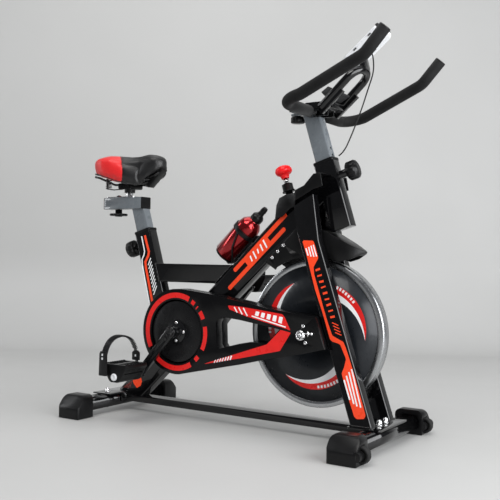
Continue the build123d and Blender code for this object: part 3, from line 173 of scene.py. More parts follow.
# ---------------------------------------------------------------------------
# material builder
# ---------------------------------------------------------------------------
class Material:
    """Principled material built from procedural textures in object space."""

    def __init__(self, name, **inputs):
        self.data = bpy.data.materials.new(name)
        self.data.use_nodes = True
        self.tree = self.data.node_tree
        self.shader = self.tree.nodes["Principled BSDF"]
        self.coords = self.node("ShaderNodeTexCoord").outputs["Object"]
        for key, value in inputs.items():
            self.shader.inputs[key.replace("_", " ")].default_value = value

    def node(self, kind, **settings):
        node = self.tree.nodes.new(kind)
        for key, value in settings.items():
            setattr(node, key, value)
        return node

    def link(self, output, target):
        self.tree.links.new(output, target)

    def noise(self, scale, detail=4, rough=0.55, stretch=None):
        node = self.node("ShaderNodeTexNoise")
        node.inputs["Scale"].default_value = scale
        node.inputs["Detail"].default_value = detail
        node.inputs["Roughness"].default_value = rough
        source = self.coords
        if stretch:
            mapping = self.node("ShaderNodeMapping")
            mapping.inputs["Scale"].default_value = stretch
            self.link(source, mapping.inputs["Vector"])
            source = mapping.outputs["Vector"]
        self.link(source, node.inputs["Vector"])
        return node.outputs["Fac"]

    def cells(self, scale, feature="F1"):
        node = self.node("ShaderNodeTexVoronoi", feature=feature)
        node.inputs["Scale"].default_value = scale
        self.link(self.coords, node.inputs["Vector"])
        return node.outputs["Distance"]

    def turned_lines(self, scale, detail, axle_weight):
        """Lines concentric with the flywheel; axle_weight scales the distance along Y."""
        offset = self.node("ShaderNodeVectorMath", operation="SUBTRACT")
        self.link(self.coords, offset.inputs[0])
        offset.inputs[1].default_value = place(HUB[0], 0, HUB[1])
        weight = self.node("ShaderNodeVectorMath", operation="MULTIPLY")
        self.link(offset.outputs[0], weight.inputs[0])
        weight.inputs[1].default_value = (1, axle_weight, 1)
        radius = self.node("ShaderNodeVectorMath", operation="LENGTH")
        self.link(weight.outputs[0], radius.inputs[0])
        lines = self.node("ShaderNodeTexNoise", noise_dimensions="1D")
        lines.inputs["Scale"].default_value = scale
        lines.inputs["Detail"].default_value = detail
        self.link(radius.outputs["Value"], lines.inputs["W"])
        return lines.outputs["Fac"]

    def remap(self, source, low, high, start=0.3, stop=0.7):
        """Map start..stop of the source to low..high."""
        node = self.node("ShaderNodeMapRange")
        node.inputs["From Min"].default_value = start
        node.inputs["From Max"].default_value = stop
        node.inputs["To Min"].default_value = low
        node.inputs["To Max"].default_value = high
        self.link(source, node.inputs["Value"])
        return node.outputs["Result"]

    def varied(self, low, high, scale, detail=4, rough=0.55, start=0.3, stop=0.7):
        """Noise that wanders between low and high."""
        return self.remap(self.noise(scale, detail, rough), low, high, start, stop)

    def mix(self, factor, first, second):
        node = self.node("ShaderNodeMix", data_type="RGBA")
        self.link(factor, node.inputs["Factor"])
        # sockets 6 and 7 are the two colours, output 2 the mixed colour
        for socket, colour in ((6, first), (7, second)):
            if isinstance(colour, tuple):
                node.inputs[socket].default_value = (*colour, 1)
            else:
                self.link(colour, node.inputs[socket])
        return node.outputs[2]

    def mottle(self, dark, light, scale, detail=4, rough=0.55):
        return self.mix(self.varied(0, 1, scale, detail, rough), dark, light)

    def dust(self, base, amount, scale, rough, start, stop, colour=(0.30, 0.30, 0.30)):
        specks = self.varied(0, amount, scale, detail=8, rough=rough, start=start, stop=stop)
        return self.mix(specks, base, colour)

    def multiply(self, first, second):
        node = self.node("ShaderNodeMath", operation="MULTIPLY")
        self.link(first, node.inputs[0])
        self.link(second, node.inputs[1])
        return node.outputs[0]

    def bump(self, height, strength, distance, under=None):
        node = self.node("ShaderNodeBump")
        node.inputs["Strength"].default_value = strength
        node.inputs["Distance"].default_value = distance
        self.link(height, node.inputs["Height"])
        if under is not None:
            self.link(under, node.inputs["Normal"])
        return node.outputs["Normal"]

    def edge(self, radius):
        """0 on flats, towards 1 along edges."""
        bevel = self.node("ShaderNodeBevel", samples=4)
        bevel.inputs["Radius"].default_value = radius
        geometry = self.node("ShaderNodeNewGeometry")
        dot = self.node("ShaderNodeVectorMath", operation="DOT_PRODUCT")
        self.link(bevel.outputs["Normal"], dot.inputs[0])
        self.link(geometry.outputs["Normal"], dot.inputs[1])
        return self.remap(dot.outputs["Value"], low=1.0, high=0.0, start=0.86, stop=0.99)

    def finish(self, colour, rough, normal=None):
        self.link(colour, self.shader.inputs["Base Color"])
        self.link(rough, self.shader.inputs["Roughness"])
        if normal is not None:
            self.link(normal, self.shader.inputs["Normal"])
        return self.data


def shade(colour, factor):
    return tuple(min(1, value * factor) for value in colour)


# ---------------------------------------------------------------------------
# material families
# ---------------------------------------------------------------------------
def enamel(name, colour, rough, coat, wear_and_highlight, peel):
    """Sprayed enamel: orange peel, faint dust, thin edges lightened in patches to the edge colour, partly worn paint
    and partly a painted highlight along the edges.
    """
    mat = Material(name, Coat_Weight=coat, Coat_Roughness=0.03, Specular_IOR_Level=0.22)
    tint = mat.mottle(shade(colour, 0.85), shade(colour, 1.2), scale=9, detail=5)
    tint = mat.dust(tint, amount=0.006, scale=55, rough=0.7, start=0.45, stop=0.8)
    # the edges are lightened in patches: partly worn paint, partly painted highlight along the edges
    edge = mat.edge(radius=0.0015)
    patches = mat.varied(low=0, high=1, scale=160, detail=6, rough=0.7, start=0.5, stop=0.7)
    tint = mat.mix(mat.multiply(edge, patches), tint, wear_and_highlight)
    gloss = mat.varied(low=rough * 0.7, high=rough * 1.5, scale=30, detail=6)
    normal = mat.bump(mat.noise(scale=260, detail=2, rough=0.4), strength=peel, distance=0.0006)
    return mat.finish(tint, gloss, normal)


def plastic(name, colour, rough, grain=700, depth=0.25, contrast=0.12):
    """Moulded plastic: spark-eroded grain and faint flow marks."""
    mat = Material(name, Specular_IOR_Level=0.24)
    tint = mat.mottle(shade(colour, 1 - contrast), shade(colour, 1 + contrast), scale=14)
    tint = mat.dust(tint, amount=0.012, scale=120, rough=0.75, start=0.55, stop=0.85)
    gloss = mat.varied(low=rough * 0.85, high=rough * 1.2, scale=45, detail=5)
    normal = mat.bump(mat.cells(grain), strength=depth, distance=0.0002)
    fine = mat.noise(scale=grain * 1.6, detail=2)
    normal = mat.bump(fine, strength=depth * 0.6, distance=0.00015, under=normal)
    return mat.finish(tint, gloss, normal)


def metal(name, colour, rough, brush, depth, contrast):
    """Bare or plated metal; brush stretches the surface marks along each axis."""
    mat = Material(name, Metallic=1.0)
    tint = mat.mottle(
        shade(colour, 1 - contrast), shade(colour, 1 + contrast), scale=35, detail=6)
    gloss = mat.varied(low=rough * 0.6, high=rough * 1.5, scale=24, detail=8, rough=0.65)
    marks = mat.noise(scale=180, detail=6, rough=0.6, stretch=brush)
    return mat.finish(tint, gloss, mat.bump(marks, strength=depth, distance=0.0003))


def rubber(name, colour):
    mat = Material(name, Specular_IOR_Level=0.25)
    tint = mat.mottle(shade(colour, 0.7), shade(colour, 1.8), scale=60, detail=8, rough=0.7)
    normal = mat.bump(mat.noise(scale=900), strength=0.35, distance=0.0003)
    return mat.finish(tint, mat.varied(low=0.65, high=0.87, scale=80), normal)


def foam(name):
    """Closed-cell foam: small cells over softer lumps."""
    mat = Material(name, Specular_IOR_Level=0.16, Sheen_Weight=0.05)
    cell = mat.cells(scale=520)
    shown = mat.remap(cell, low=0, high=1, start=0.1, stop=0.6)
    tint = mat.mix(shown, (0.0085, 0.0085, 0.0090), (0.0026, 0.0026, 0.0026))
    tint = mat.mix(mat.varied(low=0, high=0.5, scale=18), tint, (0.010, 0.010, 0.010))
    normal = mat.bump(cell, strength=0.5, distance=0.0005)
    lumps = mat.noise(scale=160, detail=5)
    normal = mat.bump(lumps, strength=0.25, distance=0.0008, under=normal)
    return mat.finish(tint, mat.varied(low=0.62, high=0.8, scale=40), normal)


def turned_face(name):
    """Charcoal paint over a turned face: fine concentric lines about the hub."""
    mat = Material(name, Metallic=0.2, Coat_Weight=0.2, Coat_Roughness=0.12,
                   Specular_IOR_Level=0.3)
    lines = mat.turned_lines(scale=900, detail=3, axle_weight=0)
    tint = mat.mottle((0.0085, 0.0100, 0.0125), (0.0145, 0.0170, 0.0205), scale=12, detail=5)
    tint = mat.dust(tint, amount=0.03, scale=130, rough=0.7, start=0.55, stop=0.85)
    normal = mat.bump(lines, strength=0.12, distance=0.0003)
    return mat.finish(tint, mat.varied(low=0.25, high=0.4, scale=30, detail=5), normal)


def turned_rim(name):
    """Bright rim with circular turning marks."""
    mat = Material(name, Metallic=1.0, Anisotropic=0.4)
    lines = mat.turned_lines(scale=1500, detail=4, axle_weight=0.2)
    tint = mat.mottle((0.40, 0.41, 0.42), (0.52, 0.53, 0.54), scale=8)
    normal = mat.bump(lines, strength=0.10, distance=0.0002)
    return mat.finish(tint, mat.varied(low=0.20, high=0.34, scale=20, detail=6), normal)


def anodised(name):
    mat = Material(name, Metallic=0.92, Coat_Weight=0.6, Coat_Roughness=0.04)
    tint = mat.mottle((0.30, 0.004, 0.007), (0.46, 0.009, 0.012), scale=20, detail=5)
    marks = mat.noise(scale=300, detail=4, rough=0.6, stretch=(0.3, 1, 0.3))
    normal = mat.bump(marks, strength=0.05, distance=0.0003)
    return mat.finish(tint, mat.varied(low=0.14, high=0.24, scale=60, detail=6), normal)


def vinyl(name, colour):
    """Printed vinyl film: faint mottle and a soft gloss."""
    mat = Material(name, Coat_Weight=0.15, Coat_Roughness=0.12, Specular_IOR_Level=0.3)
    tint = mat.mottle(shade(colour, 0.93), shade(colour, 1.05), scale=40, detail=5)
    tint = mat.dust(tint, amount=0.03, scale=200, rough=0.75, start=0.6, stop=0.9,
                    colour=(0.2, 0.18, 0.17))
    normal = mat.bump(mat.noise(scale=240, detail=3), strength=0.04, distance=0.0004)
    return mat.finish(tint, mat.varied(low=0.24, high=0.39, scale=70), normal)


def leather(name, colour):
    """Coated fabric of the saddle: pebble grain with fine pores, and painted shade in the crevices between pebbles."""
    mat = Material(name, Specular_IOR_Level=0.45, Coat_Weight=0.12, Coat_Roughness=0.25)
    cell = mat.cells(scale=420, feature="DISTANCE_TO_EDGE")
    crevice_shade_mask = mat.remap(cell, low=0, high=1, start=0.0, stop=0.25)
    # painted shade: the colour drops to 0.6 of itself in the crevices between pebbles, where the relief is low
    tint = mat.mix(crevice_shade_mask, shade(colour, 0.6), colour)
    tint = mat.mix(mat.varied(low=0, high=0.35, scale=12, detail=5), tint, shade(colour, 1.3))
    relief = mat.remap(cell, low=0, high=1, start=0.0, stop=0.3)
    normal = mat.bump(relief, strength=0.35, distance=0.0005)
    normal = mat.bump(mat.noise(scale=900), strength=0.2, distance=0.0002, under=normal)
    return mat.finish(tint, mat.varied(low=0.306, high=0.432, scale=50, detail=5), normal)


def window(name):
    mat = Material(name, Coat_Weight=1.0, Coat_Roughness=0.03)
    tint = mat.mottle((0.16, 0.19, 0.17), (0.20, 0.235, 0.21), scale=30, detail=3)
    gloss = mat.varied(low=0.08, high=0.16, scale=90)
    normal = mat.bump(mat.noise(scale=400, detail=2), strength=0.01, distance=0.0002)
    return mat.finish(tint, gloss, normal)


def woven(name, dark, light):
    """Woven band: crossing ribs."""
    mat = Material(name, Specular_IOR_Level=0.3)
    ribs = []
    for direction, scale in (("X", 320), ("Z", 260)):
        wave = mat.node("ShaderNodeTexWave", wave_type="BANDS", bands_direction=direction)
        wave.inputs["Scale"].default_value = scale
        mat.link(mat.coords, wave.inputs["Vector"])
        ribs.append(wave.outputs["Fac"])
    weave = mat.multiply(*ribs)
    tint = mat.mix(weave, dark, light)
    gloss = mat.varied(low=0.5, high=0.7, scale=90)
    return mat.finish(tint, gloss, mat.bump(weave, strength=0.4, distance=0.0005))


def paper(name):
    mat = Material(name, Specular_IOR_Level=0.35)
    tint = mat.mottle((0.408, 0.408, 0.398), (0.432, 0.432, 0.423), scale=0.8, detail=3)
    return mat.finish(tint, mat.varied(low=0.42, high=0.55, scale=2, detail=3))


MATERIALS = {
    # the edge colour of each enamel stands partly for wear and partly for painted highlight on the edges
    "frame": enamel("black_enamel", (0.0018, 0.0018, 0.0021), rough=0.12, coat=0.62,
                    wear_and_highlight=(0.05, 0.05, 0.05), peel=0.03),
    "silver": enamel("silver_grey_coat", (0.120, 0.134, 0.145), rough=0.26, coat=0.6,
                     wear_and_highlight=(0.40, 0.41, 0.42), peel=0.06),
    "arm": enamel("crank_coat", (0.0035, 0.0035, 0.0040), rough=0.20, coat=0.5,
                  wear_and_highlight=(0.08, 0.08, 0.08), peel=0.04),
    "steel": metal("machined_steel", (0.55, 0.55, 0.56), rough=0.28, brush=(1, 6, 1),
                   depth=0.08, contrast=0.08),
    "chrome": metal("bright_plate", (0.82, 0.82, 0.83), rough=0.09, brush=(1, 1, 1),
                    depth=0.02, contrast=0.04),
    "plastic": plastic("black_moulding", (0.0034, 0.0034, 0.0036), rough=0.32),
    "cap": plastic("cap_moulding", (0.0038, 0.0038, 0.0041), rough=0.32, grain=900, depth=0.12),
    "guard": plastic("guard_moulding", (0.0030, 0.0030, 0.0033), rough=0.18, grain=500,
                     depth=0.03),
    "red": plastic("red_moulding", (0.68, 0.010, 0.012), rough=0.24, grain=500, depth=0.06,
                   contrast=0.06),
    "white": plastic("light_grey_moulding", (0.62, 0.63, 0.64), rough=0.35, grain=800,
                     depth=0.15, contrast=0.04),
    "pulley": plastic("pulley_disc", (0.006, 0.006, 0.0065), rough=0.28, grain=600, depth=0.08),
    "black_wire": enamel("black_wire_coat", (0.008, 0.008, 0.008), rough=0.25, coat=0.5,
                         wear_and_highlight=(0.05, 0.05, 0.05), peel=0.04),
    "rubber": rubber("rubber", (0.010, 0.010, 0.010)),
    "foam": foam("closed_cell_foam"),
    "face": turned_face("flywheel_charcoal"),
    "rim": turned_rim("turned_rim"),
    "bottle": anodised("red_anodised"),
    "film_red": vinyl("film_red", (0.86, 0.058, 0.012)),
    "film_deep": vinyl("film_deep_red", (0.66, 0.012, 0.010)),
    "film_white": vinyl("film_white", (0.82, 0.82, 0.82)),
    "film_dark": vinyl("film_dark_red", (0.16, 0.022, 0.016)),
    "film_black": vinyl("film_black", (0.012, 0.012, 0.012)),
    "cover_black": leather("cover_black", (0.0075, 0.0075, 0.0080)),
    "cover_red": leather("cover_red", (0.68, 0.011, 0.012)),
    "lens": window("display_window"),
    "strap": plastic("strap_moulding", (0.008, 0.008, 0.0085), rough=0.34, grain=600,
                     depth=0.12),
    "block": woven("grey_block", (0.012, 0.012, 0.013), (0.055, 0.055, 0.058)),
}

# ---------------------------------------------------------------------------
# CAD pieces: material and edge rounding
# ---------------------------------------------------------------------------
# Pieces of each material; every piece not listed is black plastic.
PIECES_BY_MATERIAL = {
    "frame": ("main_frame", "rear_stabilizer", "front_stabilizer", "handlebar_frame"),
    "silver": ("seat_post", "handlebar_post"),
    "arm": ("crank_spindles", "crank_arm_right", "crank_arm_left"),
    "steel": ("stabilizer_bolts", "bb_bearings", "flywheel_axle", "pin_and_brake_springs",
              "seat_pin", "head_pin", "hub_bearings", "brake_pad_holder"),
    "chrome": ("nuts_and_tensioner", "panel_screws", "seat_slider", "crank_bolts", "brake_rod"),
    "cap": ("rear_end_caps", "front_end_caps"),
    "guard": ("belt_guard_outer", "belt_guard_inner"),
    "red": ("mode_button", "brake_knob"),
    "white": ("console_back", "console_bezel"),
    "pulley": ("drive_pulley",),
    "black_wire": ("saddle_rails",),
    "rubber": ("drive_belt", "console_cable", "transport_wheel_right", "transport_wheel_left",
               "brake_pad"),
    "foam": ("foam_grips",),
    "face": ("flywheel_covers",),
    "rim": ("flywheel",),
    "bottle": ("bottle",),
    "lens": ("console_lens",),
    "strap": ("toe_strap_right", "toe_strap_left"),
}

# Pieces of each edge rounding, in metres; every piece not listed keeps its hard edges.
PIECES_BY_ROUNDING = {
    0.0022: ("belt_guard_outer",),
    0.0016: ("rear_end_caps", "front_end_caps", "shroud"),
    0.0014: ("main_frame", "fender"),
    0.0012: ("belt_guard_inner", "crank_arm_right", "crank_arm_left", "post_bushings"),
    0.001: ("seat_post", "handlebar_post", "seat_rail_plugs", "saddle_clamp"),
    0.0008: ("handlebar_frame", "console_back", "pedal_right", "pedal_left", "drive_pulley"),
    0.0007: ("bottle_cage",),
    0.0005: ("seat_slider",),
}


def by_piece(groups):
    return {piece: value for value, pieces in groups.items() for piece in pieces}


def round_edges(obj, name, width, degrees=None):
    bevel = obj.modifiers.new(name, "BEVEL")
    bevel.width = width
    bevel.segments = 2
    if degrees is not None:
        bevel.limit_method = "ANGLE"
        bevel.angle_limit = math.radians(degrees)


def smooth_by_angle(obj, degrees):
    for polygon in obj.data.polygons:
        polygon.use_smooth = True
    with bpy.context.temp_override(object=obj, active_object=obj, selected_objects=[obj],
                                   selected_editable_objects=[obj]):
        bpy.ops.object.shade_auto_smooth(angle=math.radians(degrees))


def dress(obj, rounding):
    """Weld the imported seams, round the hard edges and shade smooth."""
    weld = obj.modifiers.new("weld", "WELD")
    weld.merge_threshold = 0.00001
    if rounding:
        round_edges(obj, "edge_round", rounding, degrees=38)
    try:
        smooth_by_angle(obj, degrees=34)
    except RuntimeError:
        # The operator may refuse an imported piece, which then stays plainly smooth.
        pass


def dress_pieces():
    material_of = by_piece(PIECES_BY_MATERIAL)
    rounding_of = by_piece(PIECES_BY_ROUNDING)
    for name, obj in product["nodes"].items():
        obj.data.materials.clear()
        obj.data.materials.append(MATERIALS[material_of.get(name, "plastic")])
        if name != "saddle_cushion":
            dress(obj, rounding_of.get(name, 0))


# ---------------------------------------------------------------------------
# mesh helpers: lengths in drawing mm unless noted
# ---------------------------------------------------------------------------
def mesh_object(name, verts, faces, material, body=None, smooth=False, outward=True):
    """Object from row-frame vertices; outward makes the face normals point out."""
    mesh = bpy.data.meshes.new(name)
    mesh.from_pydata([tuple(vert) for vert in verts], [], faces)
    mesh.update()
    if outward:
        work = bmesh.new()
        work.from_mesh(mesh)
        bmesh.ops.recalc_face_normals(work, faces=work.faces)
        work.to_mesh(mesh)
        work.free()
    obj = bpy.data.objects.new(name, mesh)
    scene.collection.objects.link(obj)
    mesh.materials.append(MATERIALS[material])
    if smooth:
        for polygon in mesh.polygons:
            polygon.use_smooth = True
    if body:
        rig.ride(obj, body)
    return obj


def ring_quads(rings, segments, base=0, closed=False):
    """Quads joining successive rings of vertices."""
    quads = []
    for i in range(rings if closed else rings - 1):
        near = base + i * segments
        far = base + (i + 1) % rings * segments
        quads += [(near + j, near + (j + 1) % segments, far + (j + 1) % segments, far + j)
                  for j in range(segments)]
    return quads


def tube_faces(rings, segments, base=0):
    """Ring quads with a cap on each end."""
    last = base + (rings - 1) * segments
    caps = [tuple(base + j for j in range(segments)),
            tuple(last + j for j in reversed(range(segments)))]
    return ring_quads(rings, segments, base) + caps


def circle(centre, across, other, radius, segments):
    """Points round a centre in metres, in the plane of two unit vectors; radius in mm."""
    points = []
    for j in range(segments):
        angle = 2 * math.pi * j / segments
        spoke = across * math.cos(angle) + other * math.sin(angle)
        points.append(centre + spoke * radius / 1000)
    return points


def rounded(corners, radius=None):
    """Polygon with rounded corners; without a radius, each corner is (x, z, radius)."""
    outline, count = [], len(corners)
    points = [Vector(corner[:2]) for corner in corners]
    steps = 6
    for i, corner in enumerate(points):
        back, ahead = points[i - 1] - corner, points[(i + 1) % count] - corner
        back_length, ahead_length = back.length, ahead.length
        back.normalize()
        ahead.normalize()
        angle = math.acos(max(-1, min(1, back.dot(ahead))))
        if angle > 3.1:     # nearly straight
            outline.append(tuple(corner))
            continue
        wanted = (corners[i][2] if radius is None else radius) / math.tan(angle / 2)
        cut = min(wanted, back_length * 0.48, ahead_length * 0.48)
        for j in range(steps + 1):
            t = j / steps
            point = corner + back * cut * (1 - t) ** 2 + ahead * cut * t ** 2
            outline.append((point.x, point.y))
    return outline


def strip(start, end, width):
    """Quad of a given width along start to end."""
    start, end = Vector(start), Vector(end)
    along = (end - start).normalized()
    normal = Vector((-along.y, along.x))
    return [tuple(start + normal * width / 2), tuple(end + normal * width / 2),
            tuple(end - normal * width / 2), tuple(start - normal * width / 2)]


def band(points, width):
    """Outline of a band of a given width along an open polyline."""
    left, right = [], []
    for i, point in enumerate(points):
        point = Vector(point)
        if i:
            before = (point - Vector(points[i - 1])).normalized()
        else:
            before = (Vector(points[1]) - point).normalized()
        after = before
        if i < len(points) - 1:
            after = (Vector(points[i + 1]) - point).normalized()
        tangent = (before + after).normalized()
        normal = Vector((-tangent.y, tangent.x))
        reach = width / 2 / max(0.5, normal.dot(Vector((-before.y, before.x))))
        left.append(tuple(point + normal * reach))
        right.append(tuple(point - normal * reach))
    return left + right[::-1]


def between(start, end, t):
    return (start[0] + (end[0] - start[0]) * t, start[1] + (end[1] - start[1]) * t)


def polar(centre, radius, degrees):
    angle = math.radians(degrees)
    return (centre[0] + radius * math.cos(angle), centre[1] + radius * math.sin(angle))


def arc_band(start, end, inner, outer, centre=CRANK, steps=None):
    """Ring sector between two angles in degrees."""
    steps = steps or max(4, int(abs(end - start) / 4))
    sweep = end - start
    return ([polar(centre, outer, start + sweep * i / steps) for i in range(steps + 1)]
            + [polar(centre, inner, end - sweep * i / steps) for i in range(steps + 1)])


def interpolate(table, x):
    """Columns after the first, read linearly at x within the table."""
    for low, high in zip(table, table[1:]):
        if low[0] <= x <= high[0]:
            t = (x - low[0]) / (high[0] - low[0])
            return [a * (1 - t) + b * t for a, b in zip(low[1:], high[1:])]


def smoothstep(t):
    t = max(0, min(1, t))
    return t * t * (3 - 2 * t)


def catmull_rom(points, steps):
    """Smooth open curve through the points."""
    curve, count = [], len(points)
    for i in range(count - 1):
        a, b, c, d = [points[max(0, min(count - 1, i + k))] for k in (-1, 0, 1, 2)]
        for j in range(steps):
            t = j / steps
            curve.append(0.5 * ((2 * b) + (c - a) * t + (2 * a - 5 * b + 4 * c - d) * t * t
                                + (3 * b - a - 3 * c + d) * t ** 3))
    return curve + [points[-1]]


def walk(points, first, pitch, stop=math.inf):
    """Yield (segment, fraction) at even distances along a polyline."""
    travelled, target = 0.0, first
    for i, (start, end) in enumerate(zip(points, points[1:])):
        length = (end - start).length
        while target <= travelled + length and target < stop:
            yield i, (target - travelled) / length
            target += pitch
        travelled += length


def extrude(name, outlines, y_start, y_end, material, body, step=0.0):
    """Flat plates from (x, z) outlines, each shifted along Y by step from the last."""
    verts, faces = [], []
    for k, outline in enumerate(outlines):
        base, count = len(verts), len(outline)
        for y in (y_start, y_end):
            verts += [place(x, y + k * step, z) for x, z in outline]
        triangles = tessellate_polygon([[Vector((x, z, 0)) for x, z in outline]])
        faces += [tuple(base + i for i in corners) for corners in triangles]
        faces += [tuple(base + count + i for i in reversed(corners)) for corners in triangles]
        faces += ring_quads(2, count, base)
    return mesh_object(name, verts, faces, material, body)


def film(name, outlines, face_y, material, body="frame", over=0.0, step=0.0):
    """Printed film on a side face; the sign of face_y gives the outward side."""
    side = 1 if face_y > 0 else -1
    start = face_y + side * (over + FILM_LIFT)
    end = start + side * FILM_THICKNESS
    return extrude(name, outlines, start, end, material, body, side * step)


def block(name, outline, y_start, y_end, material, body, bevel):
    """Extruded outline with rounded edges; bevel in metres."""
    obj = extrude(name, [outline], y_start, y_end, material, body)
    round_edges(obj, "b", bevel, degrees=30)
    smooth_by_angle(obj, degrees=30)


def bars(name, items, material, body):
    """Small bevelled boxes: each (centre, three half vectors)."""
    verts, faces = [], []
    box = ((0, 1, 2, 3), (4, 7, 6, 5), (0, 4, 5, 1), (1, 5, 6, 2), (2, 6, 7, 3), (3, 7, 4, 0))
    for centre, half_u, half_v, half_w in items:
        base = len(verts)
        for w in (-1, 1):
            for u, v in ((-1, -1), (1, -1), (1, 1), (-1, 1)):
                corner = (Vector(centre) + Vector(half_u) * u + Vector(half_v) * v
                          + Vector(half_w) * w)
                verts.append(place(*corner))
        faces += [tuple(base + i for i in face) for face in box]
    obj = mesh_object(name, verts, faces, material, body)
    round_edges(obj, "b", 0.0004)


def tube(name, points, radius, material, body, segments, closed=False):
    """Round tube along points; radius is one number or a list."""
    path = [place(*point) for point in points]
    count = len(path)
    radii = radius if isinstance(radius, list) else [radius] * count
    verts, across = [], None
    for i, centre in enumerate(path):
        if closed:
            before, after = path[i - 1], path[(i + 1) % count]
        else:
            before, after = path[max(i - 1, 0)], path[min(i + 1, count - 1)]
        tangent = (after - before).normalized()
        # carry the previous cross direction along so the tube doesn't twist
        if across is None:
            across = tangent.cross(Vector((0, 0, 1))).normalized()
        else:
            across = (across - tangent * across.dot(tangent)).normalized()
        verts += circle(centre, across, tangent.cross(across), radii[i], segments)
    if closed:
        faces = ring_quads(count, segments, closed=True)
    else:
        faces = tube_faces(count, segments)
    return mesh_object(name, verts, faces, material, body, smooth=True)


def lathe(name, centre, profile, axis, material, body):
    """Revolve a (radius, height) profile about an axis through the centre."""
    segments = 40
    origin = place(*centre)
    axis = Vector(axis).normalized()
    across = axis.cross(Vector((0, 0, 1))).normalized()
    other = axis.cross(across)
    verts = []
    for radius, height in profile:
        ring_centre = origin + axis * (height / 1000)
        verts += circle(ring_centre, across, other, max(radius, 0.01), segments)
    obj = mesh_object(name, verts, tube_faces(len(profile), segments), material, body)
    smooth_by_angle(obj, degrees=35)


# ---------------------------------------------------------------------------
# saddle: padded cover, sewn in two colours
# ---------------------------------------------------------------------------
# x, half width, skirt bottom z, side top z, crown z
SADDLE = [
    (-624, 24, 753, 768, 778), (-616, 50, 746, 775, 786), (-600, 72, 740, 779, 791),
    (-580, 86, 736, 781, 794), (-556, 92, 729, 781, 796), (-530, 88, 721, 780, 795),
    (-506, 79, 713, 779, 793), (-482, 66, 708, 778, 791), (-458, 54, 703, 778, 791),
    (-442, 46, 703, 779, 793), (-424, 42, 716, 781, 797), (-402, 36, 735, 783, 799),
    (-386, 29, 749, 783, 797), (-376, 19, 757, 779, 791), (-371, 9, 763, 775, 784)]
SADDLE_REAR = -623.5
SADDLE_LENGTH = 252.0
SADDLE_STATIONS = 84
SADDLE_AROUND = 56
SKIRT_SHARE = 0.80              # part of the lower half turn taken by the skirt wall
SKIRT_TAPER = 0.13
VOXEL = 0.0045                  # remesh size, metres


def saddle_ring(x):
    """One cross-section: domed top, tapering skirt, hollowed underside."""
    half_width, bottom, side_top, crown = interpolate(SADDLE, x)
    widest = side_top - 8
    points = []
    for j in range(SADDLE_AROUND):
        angle = 2 * math.pi * j / SADDLE_AROUND
        across, up = math.cos(angle), math.sin(angle)
        side = 1 if across > 0 else -1
        if up >= 0:
            y = half_width * abs(across) ** 0.72 * side
            z = widest + (crown - widest) * up ** 0.62
            # relief groove along the middle
            z -= (2.6 * math.exp(-(y / 9) ** 2) * smoothstep((x + 600) / 60)
                  * smoothstep((-400 - x) / 60))
        elif -up < SKIRT_SHARE:
            depth = -up / SKIRT_SHARE
            y = half_width * (1 - SKIRT_TAPER * depth ** 1.6) * side
            z = widest - (widest - bottom) * depth
        else:
            inset = math.sqrt(max(0, (1 + up) / (1 - SKIRT_SHARE)))
            y = half_width * (1 - SKIRT_TAPER) * inset * side
            z = (bottom + 14 * (1 - inset * inset) * smoothstep((x + 618) / 40)
                 * smoothstep((-392 - x) / 40))
        points.append(place(x, y, z))
    return points


def seam_x(y):
    """X of the red and black seam: its middle lies furthest back."""
    return -532 + 0.0101 * y * y


def apply_modifiers(obj):
    depsgraph = bpy.context.evaluated_depsgraph_get()
    mesh = bpy.data.meshes.new_from_object(obj.evaluated_get(depsgraph))
    old = obj.data
    obj.modifiers.clear()
    obj.data = mesh
    # the evaluated copy may come without its materials
    if not mesh.materials:
        for material in old.materials:
            mesh.materials.append(material)


def voxel_remesh(obj):
    remesh = obj.modifiers.new("remesh", "REMESH")
    remesh.mode = "VOXEL"
    remesh.voxel_size = VOXEL
    remesh.use_smooth_shade = True
    apply_modifiers(obj)


def inflate(obj, pressure, max_move, frames):
    """Blow up a closed mesh as cloth; no vertex moves more than max_move metres."""
    rest = [vert.co.copy() for vert in obj.data.vertices]
    cloth = obj.modifiers.new("cloth", "CLOTH")
    cloth.settings.quality = 5
    cloth.settings.mass = 0.25
    cloth.settings.tension_stiffness = 18
    cloth.settings.compression_stiffness = 18
    cloth.settings.shear_stiffness = 8
    cloth.settings.bending_stiffness = 1.5
    cloth.settings.use_pressure = True
    cloth.settings.uniform_pressure_force = pressure
    cloth.settings.effector_weights.gravity = 0
    cloth.collision_settings.use_collision = False
    scene.frame_start, scene.frame_end = 1, frames
    for i in range(1, frames + 1):
        scene.frame_set(i)
    depsgraph = bpy.context.evaluated_depsgraph_get()
    inflated = [vert.co.copy() for vert in obj.evaluated_get(depsgraph).data.vertices]
    obj.modifiers.remove(cloth)
    for vert, start, end in zip(obj.data.vertices, rest, inflated):
        move = end - start
        if move.length > max_move:
            move *= max_move / move.length
        vert.co = start + move
    scene.frame_set(1)


def build_saddle():
    verts = []
    for i in range(SADDLE_STATIONS):
        verts += saddle_ring(SADDLE_REAR + SADDLE_LENGTH * (i / (SADDLE_STATIONS - 1)))
    obj = mesh_object("saddle_cover", verts, tube_faces(SADDLE_STATIONS, SADDLE_AROUND),
                      "cover_black", smooth=True)
    obj.data.materials.append(MATERIALS["cover_red"])
    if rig.quick():
        voxel_remesh(obj)
    else:
        bpy.context.view_layer.objects.active = obj
        voxel_remesh(obj)
        inflate(obj, pressure=4.0, max_move=0.006, frames=20)
    # groove where the two covers meet
    for vert in obj.data.vertices:
        x, y, _ = drawn(vert.co)
        distance = abs(x - seam_x(y))
        if distance < 7:
            vert.co -= vert.normal * 0.0016 * math.exp(-(distance / 2.6) ** 2)
    subdivision = obj.modifiers.new("sub", "SUBSURF")
    subdivision.levels = subdivision.render_levels = 1
    apply_modifiers(obj)
    for polygon in obj.data.polygons:
        x, y, _ = drawn(polygon.center)
        polygon.material_index = 1 if x < seam_x(y) else 0
        polygon.use_smooth = True
    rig.ride(obj, "saddle")
    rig.replaces(obj, "saddle_cushion")
    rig.slot(obj, "upholstery")
    return obj


